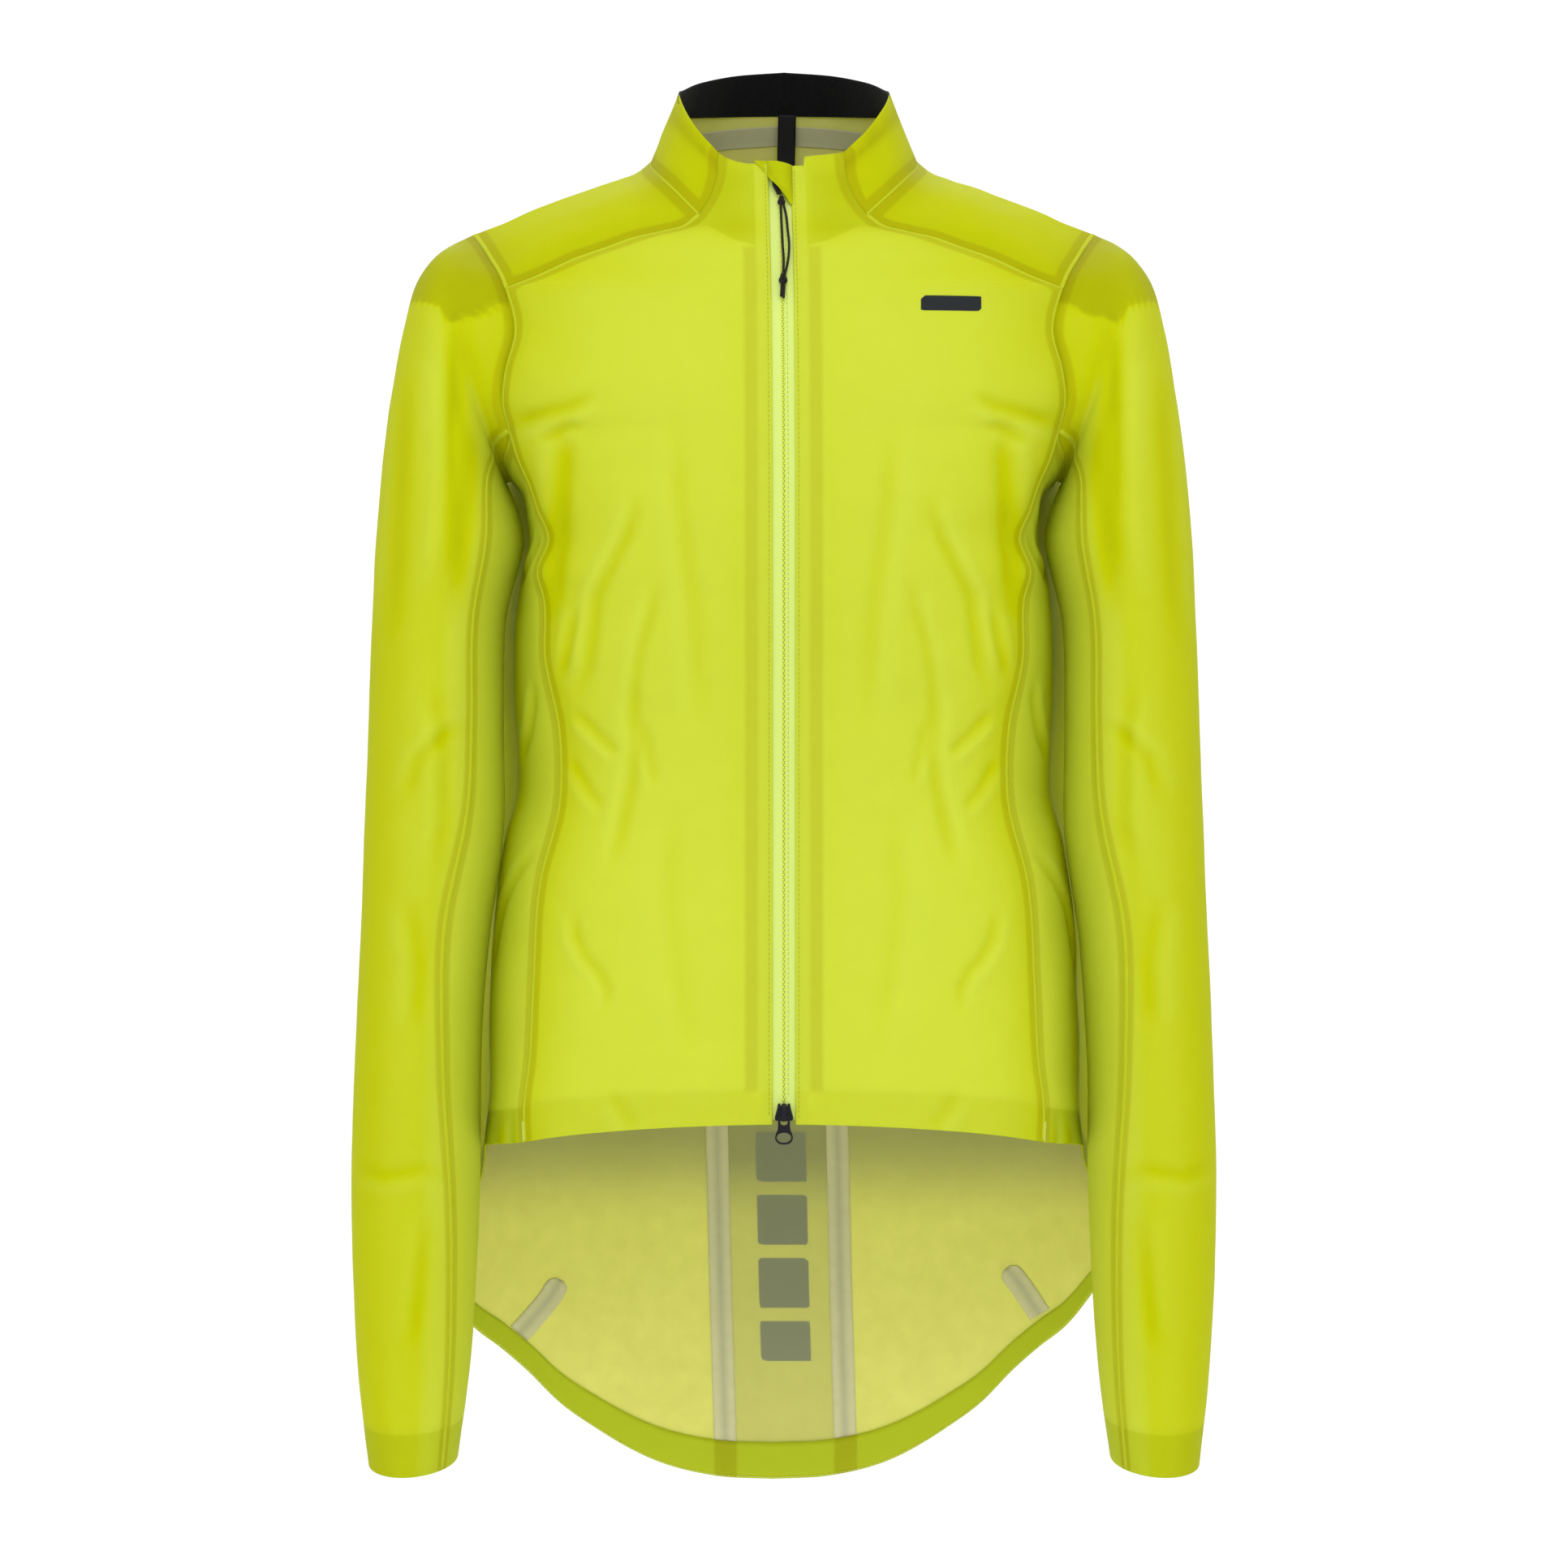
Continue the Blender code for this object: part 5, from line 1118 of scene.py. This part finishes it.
HEM_INSET = 1.0
STITCH = 0.3  # thickness of the sewing thread


def stitched(points, normals, pitch=2.7, share=0.72, thick=STITCH):
    """A row of stitches along a line, as small ribs that sink at both ends."""
    normals = np.broadcast_to(normals, points.shape)
    steps = np.linalg.norm(np.diff(points, axis=0), axis=1)
    far = np.concatenate([[0], np.cumsum(steps)])
    profile = np.array([(-0.5, -0.3), (-0.3, 0.4), (0.3, 0.4), (0.5, -0.3)]) * thick
    made = []
    for start in np.arange(pitch / 2, far[-1] - pitch, pitch):
        at = start + pitch * share * np.array([0, 0.25, 0.75, 1])
        place = np.stack([np.interp(at, far, points[:, k]) for k in range(3)], -1)
        up = np.stack([np.interp(at, far, normals[:, k]) for k in range(3)], -1)
        lift = thick * np.array([-0.3, 0.35, 0.35, -0.3])[:, None]
        made.append(rib(place + up * lift, up, profile))
    return made


normals = outward(whole_back)
edge = whole_back[-1]
way = edge - whole_back[-2]
way /= np.linalg.norm(way, axis=-1, keepdims=True)
radius = HEM_INSET / 2
bend = [edge + 0.25 * way + radius * (math.sin(turn) * way - (1 - math.cos(turn)) * normals[-1])
        for turn in np.radians((0, 35, 70, 110, 145))]
levels = np.linalg.norm(np.diff(whole_back[::-1], axis=0), axis=-1).mean(axis=1).cumsum()
laid = 1 + np.unique(np.searchsorted(levels, np.linspace(1, HEM_BAND, 8)))
back = [whole_back[-1 - i] - HEM_INSET * normals[-1 - i] for i in laid]
hem_grid = np.stack(bend + back)[:, 1:-1]
tape_gap = np.abs(hem_grid[..., 0:1] - edge[[len(BACK_STATIONS) - 1, -len(BACK_STATIONS)], 0]).min(axis=-1)
fields = {**PLAIN, "tone": 0.1, "taped": tape_gap - SEAM_TAPE / 2, "doubled": -NOWHERE}
belongs(cloth_mesh("tail_hem_band", hem_grid, (coated_nylon,), fields=fields), "coated_cloth", "tail_hem")
row = -1 - int(np.searchsorted(levels, 2.2))
line = whole_back[row, 2:-2] + CLOTH / 2 * normals[row, 2:-2]
inner = whole_back[row, 2:-2] - (HEM_INSET + CLOTH / 2) * normals[row, 2:-2]
stitches = stitched(line, normals[row, 2:-2]) + stitched(inner, -normals[row, 2:-2])
belongs(joined("tail_hem_stitches", stitches, thread), "coated_cloth")


# Collar lining. Black knit, brushed on the side that touches the neck. It is rolled over the collar's top
# edge, and its lower edge is left raw. The neck label hangs from that edge.

LINING, LINING_INSET = 0.7, 0.75
# Raised fibres: no gloss, a faint grey sheen, and a nap that clouds the surface.
brushed_knit, tree, surface = new_finish(
    "brushed_polyester_knit_black",
    {"Roughness": 0.95, "Specular IOR Level": 0.08, "Sheen Weight": 0.04, "Sheen Roughness": 0.6})
place = node(tree, "ShaderNodeTexCoord").outputs["Object"]
nap = node(tree, "ShaderNodeTexNoise", None, {"Vector": place, "Scale": 1 / (1.3 * MM), "Detail": 4.0})
mixed = node(tree, "ShaderNodeMix", MIXED,
             {0: nap.outputs["Fac"], 6: linear("040405"), 7: linear("0F0E12")})
tree.links.new(mixed.outputs[2], surface.inputs["Base Color"])
bump = node(tree, "ShaderNodeBump", None,
            {"Strength": 0.6, "Distance": 0.3 * MM, "Height": nap.outputs["Fac"]})
tree.links.new(bump.outputs["Normal"], surface.inputs["Normal"])

around = np.linspace(0.06, 1, 100)
low = on_curve(COLLAR_LINING, np.maximum(around, 0.1))[..., 0]
rolled = eased(0.34, 0.46, around)
rows = [collar(around, low + share * (0.94 + 0.045 * rolled - low)) for share in np.linspace(0, 1, 26)]
grid = inwards(both_halves(np.stack(rows, axis=1)).swapaxes(0, 1), LINING_INSET)
grid += (outward(grid) * (rippled(grid, 0.9, 22) * np.linspace(1, 0, len(grid))[:, None])[..., None])
top = both_halves(collar(around, 1.0 + 0 * around)[:, None])[:, 0]
normal = outward(grid)[-1]
rolled = np.concatenate([rolled, rolled[-2::-1]])[:, None]
roll = [grid[-1] + rolled * (top - normal * (LINING_INSET - across) - (0, 0, rise) - grid[-1])
        for across, rise in ((0.12, 0.2), (0.45, 0.35))]
grid = np.concatenate([grid, np.stack(roll) + (1 - rolled) * (0, 0, -0.05) * np.array([1, 2])[:, None, None]])
piece = cloth_mesh("collar_lining_knit", swayed(grid), (brushed_knit,), LINING)
belongs(piece, "collar_lining", "collar_lining")

LABEL_WIDTH, LABEL = 10.6, 0.3
# drop, y of the label's middle
LABEL_FALL = [(-40, 83.2), (-30, 84.4), (-18, 85.6), (6, 86)]
# Damask-woven polyester: smooth black satin with the fine ribs of its weft, 0.4 mm apart as drawn.
woven_label, tree, surface = new_finish(
    "woven_satin_label_black",
    {"Base Color": linear("0A0A0D"), "Roughness": 0.5, "Specular IOR Level": 0.12})
place = node(tree, "ShaderNodeTexCoord").outputs["Object"]
weft = node(tree, "ShaderNodeTexWave", {"wave_type": "BANDS", "bands_direction": "Z"},
            {"Vector": place, "Scale": 2 * math.pi / (20 * 0.4 * MM), "Distortion": 0.4})
bump = node(tree, "ShaderNodeBump", None,
            {"Strength": 0.25, "Distance": 0.08 * MM, "Height": weft.outputs["Fac"]})
tree.links.new(bump.outputs["Normal"], surface.inputs["Normal"])
drop = np.linspace(-38.6, 6, 34)
depth = on_curve(LABEL_FALL, drop)[:, 0]
share = np.linspace(-0.5, 0.5, 11)
middle = np.interp(drop, (-40, 6), (1.9, 0.8))
across = middle[:, None] + LABEL_WIDTH * share
curl = 0.35 * np.cos(2 * math.pi * share)[None] * np.linspace(0.2, 1, len(drop))[:, None]
grid = np.stack([across, depth[:, None] - curl, drop[:, None] + 0 * across], -1)
belongs(cloth_mesh("neck_label_woven", grid, (woven_label,), LABEL), "label", "neck_label")


# Facings and flap. A facing of the same cloth lies inside each collar front. The flap is sewn to the left
# front and folds over the top of the zip, so that the slider doesn't rub the chin.

FACING_TOP, FACING_INSET = 9.5, 1.15
for side, turned in SIDES:
    width, low = np.array(FACING_LOW).T
    fine = np.linspace(width[0], width[-1], 20)
    low = np.interp(fine, width, low)
    seam = -collar_seam(1.0)[0] - 2.5
    share = np.linspace(0, 1, 16)[:, None]
    top_width = np.interp(fine, (fine[0], fine[-1]), (width[0], seam))
    at = top_width + share * (fine - top_width)
    down = FACING_TOP + share * (low - FACING_TOP)
    grid = inwards(on_cloth(front_cloth[side], turned * at, down), FACING_INSET)
    piece = cloth_mesh(f"facing_{side}_cloth", grid, (film_inside, coated_nylon), fields=rib_fields)
    belongs(piece, "coated_cloth", "facing_" + side)

# drop, x of the flap's free edge, and how far its middle stands off
GARAGE = [(4.6, -14.6, 6.6), (8, -11.5, 7.8), (12, -8.5, 7.6), (16.1, -5.5, 7.2), (20.7, -1.1, 6.8),
          (26, 2.8, 3.4), (30.8, 5.6, 1.5)]
GARAGE_SEWN, GARAGE_TILT = 6.9, 3.2
GARAGE_THICK = 0.6  # two layers
drop = np.linspace(4.6, 30.8, 40)
free, off = np.moveaxis(on_curve(GARAGE, drop), -1, 0)
share = np.linspace(0, 1, 30)
at = free[:, None] + share * (GARAGE_SEWN - free)[:, None]
drop = drop[:, None] + GARAGE_TILT * share ** 2 * np.linspace(1, 0, len(drop))[:, None]
arch = np.sqrt(np.sin(math.pi * np.clip((GARAGE_SEWN - at) / (2 * GARAGE_SEWN), 0, 1)))
under = on_cloth(front_cloth["right"], -np.maximum(np.abs(at), ZIP_HALF + 0.3), drop)[..., 1]
lift = (off[:, None] + 0.35) * arch - 0.35 - 0.5 * np.exp(-((share - 0.16) / 0.07) ** 2)
grid = swayed(np.stack([at, under - lift, drop], -1))
fields = {**PLAIN, "tone": 0.95 + 0.5 * eased(0.7, 1, share)[None], "doubled": -NOWHERE}
piece = cloth_mesh("zip_garage_flap", grid, (coated_nylon,), GARAGE_THICK, fields=fields)
belongs(piece, "coated_cloth", "zip_garage")


# Zip. Pale lime woven tapes, sewn behind the folded edges of the fronts, and a closed nylon coil between
# them. It opens from both ends.

ZIP_TAPE, ZIP_TAPE_INSET = 0.5, 1.35
ZIP_TOP, ZIP_FOOT = 9.5, 546
COIL_TOP, COIL_FOOT = 20, 536
COIL_PITCH = 2.86  # from one turn of the coil to the next on the same side
# Twill polyester tape, calendered: pale, with diagonal ribs drawn 0.7 mm apart and a soft shine.
zip_weave, tree, surface = new_finish("woven_zip_tape_lime", {"Roughness": 0.6, "Specular IOR Level": 0.15})
place = node(tree, "ShaderNodeTexCoord").outputs["Object"]
aslant = node(tree, "ShaderNodeMapping", None, {"Vector": place, "Rotation": (0, 0.9, 0)})
twill = node(tree, "ShaderNodeTexWave", {"wave_type": "BANDS", "bands_direction": "Z"},
             {"Vector": aslant.outputs[0], "Scale": 2 * math.pi / (20 * 0.7 * MM), "Distortion": 1.2,
              "Detail": 2.0})
mixed = node(tree, "ShaderNodeMix", MIXED,
             {0: twill.outputs["Fac"], 6: linear("BCCF60"), 7: linear("C9D97C")})
tree.links.new(mixed.outputs[2], surface.inputs["Base Color"])
bump = node(tree, "ShaderNodeBump", None,
            {"Strength": 0.35, "Distance": 0.12 * MM, "Height": twill.outputs["Fac"]})
tree.links.new(bump.outputs["Normal"], surface.inputs["Normal"])
# Drawn nylon filament: smooth, deeper than its tape.
coil_nylon, tree, surface = new_finish("nylon_monofilament_lime",
                                       {"Base Color": linear("CEDA3C"), "Roughness": 0.35})
# The seams' thread, darkened from lime to olive as painted shade of its stitch holes, which holds the coil to
# its tape and the tapes to the fronts.
shaded_thread, tree, surface = new_finish(
    "polyester_thread_painted_shade", {"Base Color": linear("A6B226"), **THREAD_SHINE})

levels = np.linspace(ZIP_TOP, ZIP_FOOT, 260)
zip_front = front_cloth["right"][:, 0]
zip_y = np.interp(levels, zip_front[:, 2], zip_front[:, 1])
sway = np.interp(levels, *zip(*ZIP_SWAY))
AHEAD = np.array([0.0, -1.0, 0.0])
# across each tape from the coil, and how far it is raised there over the coil's turns
across = np.array([0.3, 0.9, 1.6, 2.4, 3.2, 4.5, 7, 8.3, 9.6, 11, 12.5])
raised = {"right": np.array([0, 0.1, 0.25, 0.1, 0, 0, 0, 0, 0, 0, 0]),
          "left": np.array([0, 0.1, 0.35, 0.3, 0, 0, 0, 0, 0, 0, 0])}
for side, turned in SIDES:
    rows = []
    for row in front_cloth[side]:
        if ZIP_TOP < row[0, 2] < ZIP_FOOT + 1:
            aside = np.interp(row[0, 2], *zip(*ZIP_SWAY))
            away = (row[:14, 0] - aside) * turned
            depth, down = (np.interp(across, away, row[:14, k]) for k in (1, 2))
            rows.append(np.stack([aside + turned * across, depth + ZIP_TAPE_INSET - raised[side], down], -1))
    grid = np.stack(rows)
    piece = cloth_mesh(f"zip_tape_{side}_woven", grid, (zip_weave,), ZIP_TAPE)
    belongs(piece, "zip_tape", "zip_tape_" + side)

bead_mesh = bmesh.new()
bmesh.ops.create_icosphere(bead_mesh, subdivisions=1, radius=1.0)
bead = np.array([vertex.co[:] for vertex in bead_mesh.verts])
bead_faces = [[vertex.index for vertex in face.verts] for face in bead_mesh.faces]
bead_mesh.free()
coil = []
for i, drop in enumerate(np.arange(COIL_TOP, COIL_FOOT, COIL_PITCH / 2)):
    turned = 1 if i % 2 else -1
    middle = (np.interp(drop, levels, sway) + 0.42 * turned, np.interp(drop, levels, zip_y) + 0.85, drop)
    tilt = np.array([[1, 0, 0.25 * turned], [0, 1, 0], [-0.45 * turned, 0, 1]])
    coil.append((bead * (0.78, 0.7, 0.72) @ tilt.T + middle, bead_faces))
belongs(joined("zip_coil_turns", coil, coil_nylon), "zip_coil", "zip_coil")

in_coil = (levels > COIL_TOP) & (levels < COIL_FOOT)
line = np.stack([sway + 2.35, zip_y + ZIP_TAPE_INSET - 0.3 - ZIP_TAPE / 2, levels], -1)[in_coil]
belongs(joined("zip_coil_stitches", stitched(line, AHEAD, thick=0.35), shaded_thread), "zip_tape")
for side, turned in SIDES:
    front = front_cloth[side]
    at = turned * (ZIP_HALF + 1.35) + np.interp(front[:, 0, 2], *zip(*ZIP_SWAY))
    depth = np.array([np.interp(x * turned, row[:12, 0] * turned, row[:12, 1]) for x, row in zip(at, front)])
    line = np.stack([at, depth - CLOTH / 2, front[:, 0, 2]], -1)[1:-1]
    belongs(joined(f"zip_stitches_{side}", stitched(line, AHEAD, thick=0.42), shaded_thread), "coated_cloth")


# Sliders. Die-cast zinc, lacquered black: a front plate and a back plate joined by a neck through the coil,
# and a bridge on the front that holds the puller. A flat stamped pull tab hangs from the lower one.

# half width, height of the front plate's outline, from its notch over the top and down
PLATE_SIDE = [(1.75, 3.4), (2.1, 4.6), (2.7, 4.95), (3.3, 4.7), (3.45, 3.6), (3.75, 2.0), (4.4, -0.3),
              (5.0, -2.3), (5.15, -3.5), (4.95, -4.4), (4.3, -4.85), (2.4, -4.9)]
# depth, height along the middle of the bridge
BRIDGE = [(-1.5, 4.4), (-3.2, 4.5), (-4.3, 4.1), (-4.75, 3.2), (-4.8, 0), (-4.75, -3.4), (-4.4, -4.5),
          (-3.3, -4.85), (-1.5, -4.7)]
# rows of (aside, outwards) of the bridge, of a plate's side rails and of the neck through the coil
BRIDGE_PROFILE = np.array([(-1.5, -0.45), (-1.5, 0.1), (-0.75, 0.45), (0.75, 0.45), (1.5, 0.1), (1.5, -0.45)])
RAIL_PROFILE = np.array([(-0.35, -0.9), (-0.35, 0.5), (0.35, 0.5), (0.35, -0.9)])
NECK_PROFILE = np.array([(-0.9, -2.8), (-0.9, 1.2), (0.9, 1.2), (0.9, -2.8)])
HINGE_DEPTH, HINGE_HEIGHT = -2.95, -3.1
# half width, height of the pull tab's outline below its hinge
TAB_SIDE = [(2.9, 0.9), (3.3, 0.6), (3.4, 0), (3.35, -3), (3.4, -5), (3.6, -6.6), (4.15, -8), (4.7, -9.4),
            (5.0, -11), (4.85, -12.3), (4.2, -13.5), (3, -14.4), (1.5, -14.85), (0, -14.95)]
TAB_SLOT = [(1.95, -0.65), (1.95, -2.6), (1.75, -3.4), (1.2, -3.9), (0, -4.15)]
TAB_EYE = (4.05, 2.75, -11.1)  # half width, half height, height of its middle
TAB_THICK = 1.2
# Zinc under black lacquer: smooth, near-black with a blue cast, satin highlights on its edges.
black_lacquer, tree, surface = new_finish(
    "lacquered_zinc_black",
    {"Base Color": linear("0A0912"), "Roughness": 0.3, "Specular IOR Level": 0.22})


def both_sides(side):
    """A closed outline from its right side, top down."""
    return [*side, *[(-across, up) for across, up in reversed(side) if across > 0]]


def plate(loops, thick, bevel):
    """Points and faces of a flat plate with rounded edges, from closed outlines of (x, height); its y is 0 in
    the middle of its thickness. An outline inside another is a hole."""
    curve = bpy.data.curves.new("outline", "CURVE")
    curve.dimensions = "2D"
    curve.fill_mode = "BOTH"
    curve.extrude = thick / 2 - bevel
    curve.bevel_depth = bevel
    curve.bevel_resolution = 2
    curve.offset = -bevel
    for loop in loops:
        line = curve.splines.new("POLY")
        line.points.add(len(loop) - 1)
        line.use_cyclic_u = True
        for point, (across, up) in zip(line.points, loop):
            point.co = (across, up, 0, 1)
    holder = bpy.data.objects.new("outline", curve)
    scene.collection.objects.link(holder)
    mesh = bpy.data.meshes.new_from_object(holder.evaluated_get(bpy.context.evaluated_depsgraph_get()))
    bpy.data.objects.remove(holder)
    points = np.array([(vertex.co[0], vertex.co[2], -vertex.co[1]) for vertex in mesh.vertices])
    faces = [list(face.vertices) for face in mesh.polygons]
    bpy.data.meshes.remove(mesh)
    return points, faces


def placed(part, move, matrix=Matrix()):
    """A part's points and faces, turned and then moved."""
    points, faces = part
    return points @ np.array(matrix.to_3x3()).T + move, faces


def zip_slider(name, drop, turn, lean, node_name):
    """A slider at this drop, turned about y for its wide end's way, and leaning about x as the fronts do."""
    path = np.array([(0, depth, -height) for depth, height in BRIDGE], float)
    along = np.gradient(path, axis=0)
    out = np.stack([0 * along[:, 0], along[:, 2], -along[:, 1]], -1)
    out /= np.linalg.norm(out, axis=-1, keepdims=True)
    out *= np.sign((out * (path - (0, -1.0, 0))).sum())
    flank = np.array([(3.5, 0, -4.2), (3.75, 0, -2.2), (4.4, 0, 0.3), (5.0, 0, 2.3), (5.0, 0, 4.0)])
    parts = [placed(plate([both_sides(PLATE_SIDE)], 1.4, 0.3), (0, -1.2, 0)),
             placed(plate([both_sides(PLATE_SIDE[3:])], 1.0, 0.25), (0, 3.2, 0)),
             rib(path, out, BRIDGE_PROFILE), rib(flank + (-0.35, -0.6, 0), AHEAD, RAIL_PROFILE),
             rib(flank * (-1, 1, 1) + (0.35, -0.6, 0), AHEAD, RAIL_PROFILE),
             rib(np.array([(0, 0.2, -3.4), (0, 0.2, 3.4)]), AHEAD, NECK_PROFILE)]
    # Here z is a drop, so the turns about x are counted the other way.
    spin = Matrix.Rotation(-math.radians(lean), 4, "X") @ Matrix.Rotation(math.radians(turn), 4, "Y")
    middle = (np.interp(drop, levels, sway), np.interp(drop, levels, zip_y), drop)
    parts = [placed(part, middle, spin) for part in parts]
    return belongs(joined(name, parts, black_lacquer), "zip_metal", node_name)


BOTTOM_SLIDER_DROP, TOP_SLIDER_DROP, TOP_SLIDER_LEAN = 541.5, 14.5, 25.0
zip_slider("slider_bottom_cast", BOTTOM_SLIDER_DROP, 0, 0, "slider_bottom")
zip_slider("slider_top_cast", TOP_SLIDER_DROP, 180, TOP_SLIDER_LEAN, "slider_top")

half_width, half_height, height = TAB_EYE
eye = [(half_width * math.cos(turn), height + half_height * math.sin(turn))
       for turn in np.linspace(0, 2 * math.pi, 40, endpoint=False)]
hinge = (0, np.interp(BOTTOM_SLIDER_DROP, levels, zip_y) + HINGE_DEPTH, BOTTOM_SLIDER_DROP - HINGE_HEIGHT)
tab = placed(plate([both_sides(TAB_SIDE), both_sides(TAB_SLOT), eye], TAB_THICK, 0.25), hinge)
belongs(joined("pull_tab_stamped", [tab], black_lacquer), "zip_metal", "pull_tab", body="pull_tab")


# Cord puller. One length of thin black cord, doubled through the upper slider, knotted below the flap and
# again near its ends, which hang side by side and are sealed by heat.

CORD = 1.45
CORD_DEPTH, LOOP_DEPTH = -2.0, -3.7
# x, drop along each strand, from the upper knot to the lower one
STRANDS = {"right": [(-1.9, 30.5), (-1.6, 38), (-1.2, 46), (-0.8, 54), (-0.2, 63), (-0.4, 72.2)],
           "left": [(-0.3, 30.5), (1.3, 38), (2.1, 46), (2.9, 54.8), (2.2, 64), (0.4, 72.2)]}
CORD_LOOP = [(-5.4, 17), (-5.1, 19.5), (-3.7, 22.5), (-2.5, 25)]
CORD_END = [(-0.5, 76.6), (-0.7, 81), (-1.0, 85)]
KNOTS = {"upper": (-1.5, 28.8, 2.3, 3.1), "lower": (-0.5, 74.1, 2.6, 3.5)}  # x, drop, radius, half height
# Braided filaments: black, matt, with a slanted grain drawn at 0.7 mm.
braid, tree, surface = new_finish(
    "braided_polyester_cord_black",
    {"Base Color": linear("17130F"), "Roughness": 0.7, "Specular IOR Level": 0.25})
place = node(tree, "ShaderNodeTexCoord").outputs["Object"]
plait = node(tree, "ShaderNodeTexVoronoi", None, {"Vector": place, "Scale": 1 / (0.7 * MM)})
bump = node(tree, "ShaderNodeBump", None,
            {"Strength": 0.6, "Distance": 0.15 * MM, "Height": plait.outputs[0]})
tree.links.new(bump.outputs["Normal"], surface.inputs["Normal"])


def strand(name, lines, radius, cyclic=False):
    """A curve through each line's points (x, y, drop), as thick as a cord."""
    curve = bpy.data.curves.new(name, "CURVE")
    curve.dimensions = "3D"
    curve.bevel_depth = radius * MM
    curve.bevel_resolution = 3
    curve.use_fill_caps = True
    for points in lines:
        line = curve.splines.new("POLY")
        line.points.add(len(points) - 1)
        line.use_cyclic_u = cyclic
        for point, (x, y, drop) in zip(line.points, points):
            point.co = (x * MM, y * MM, -drop * MM, 1)
    curve.materials.append(braid)
    made = bpy.data.objects.new(name, curve)
    scene.collection.objects.link(made)
    return made


def cord_route(route, depth, steps):
    """Points of the smooth curve through a route of (x, drop), in front of the zip."""
    across, drop = np.array(route, float).T
    fine = np.linspace(drop[0], drop[-1], steps)
    smooth = on_curve(list(zip(drop, across)), fine)[:, 0]
    depths = np.interp(fine, levels, zip_y) + np.linspace(depth, CORD_DEPTH, steps)
    return np.stack([smooth, depths, fine], -1)


for name, route, depth in (("cord_loop", CORD_LOOP, LOOP_DEPTH), ("cord_end", CORD_END, CORD_DEPTH)):
    middle = cord_route(route, depth, 12)
    apart = np.array([CORD / 2, 0, 0])
    pair = [middle - apart, middle + apart]
    if name == "cord_end":
        pair[0] = pair[0][:-1]
    belongs(strand(name + "_strands", pair, CORD / 2), "cord", name)
for which, (x, drop, radius, half_height) in KNOTS.items():
    turn = np.linspace(0, 2 * math.pi, 72, endpoint=False)
    knot = np.stack([(np.sin(turn) + 2 * np.sin(2 * turn)) / 3, -np.sin(3 * turn),
                     (np.cos(turn) - 2 * np.cos(2 * turn)) / 3], -1)
    middle = (x, np.interp(drop, levels, zip_y) + CORD_DEPTH, drop)
    tied = knot * (radius - 0.85, 0.6, half_height - 0.85) + middle
    piece = strand(f"cord_knot_{which}_tied", [tied], 0.95, cyclic=True)
    belongs(piece, "cord", "cord_knot_" + which)
for side, route in STRANDS.items():
    points = cord_route(route, CORD_DEPTH, 30)
    made = belongs(strand(f"cord_strand_{side}_braided", [points], CORD / 2), "cord", "cord_strand_" + side)
    length = np.linalg.norm(np.diff(points, axis=0), axis=1).sum() * MM


# Cut sizes. Every sheet was cut flat before it was sewn, turned up or bonded. The narrow tapes beside the
# zip, the seams, the stitches and the hem's bars go with the piece of cloth that they are on.

# piece, how it is held, what it hangs from or lies on, what is on it; {0} is right or left
CUTS = [
    ("front_{0}_cloth", "hung", "yoke_cloth",
     "placket_tape_{0}_bonded front_seams_{0} collar_seam_{0} zip_stitches_{0} hem_bar_{0}"),
    ("side_{0}_cloth", "gathered", "front_{0}_cloth", "side_seams_{0}"),
    ("back_{0}_cloth", "hung", "yoke_cloth", "back_seams_{0}"),
    ("sleeve_{0}_cloth", "hung", "yoke_cloth", "sleeve_seam_{0}"),
    ("facing_{0}_cloth", "laid", "front_{0}_cloth", ""),
    ("back_tape_{0}_bonded", "laid", "back_{0}_cloth", ""),
    ("dart_tape_{0}_bonded", "laid", "back_{0}_cloth", ""),
    ("zip_tape_{0}_woven", "hung", "front_{0}_cloth", ""),
    ("back_strip_cloth", "hung", "yoke_cloth", ""),
    ("yoke_cloth", "draped", "collar_cloth", "shoulder_seam"),
    ("collar_cloth", "folded", "yoke_cloth", "neck_seam"),
    ("collar_lining_knit", "laid", "collar_cloth", ""),
    ("neck_tape_bonded", "laid", "yoke_cloth", ""),
    ("neck_label_woven", "hung", "collar_lining_knit", ""),
    ("tail_hem_band", "folded", "back_strip_cloth", "tail_hem_stitches"),
    ("zip_garage_flap", "folded", "front_left_cloth", ""),
]
for piece_name, held, under, on_it in CUTS:
    for side in ("right", "left") if "{0}" in piece_name else ("",):
        name = piece_name.format(side)
        width, length, area = cuts[name]
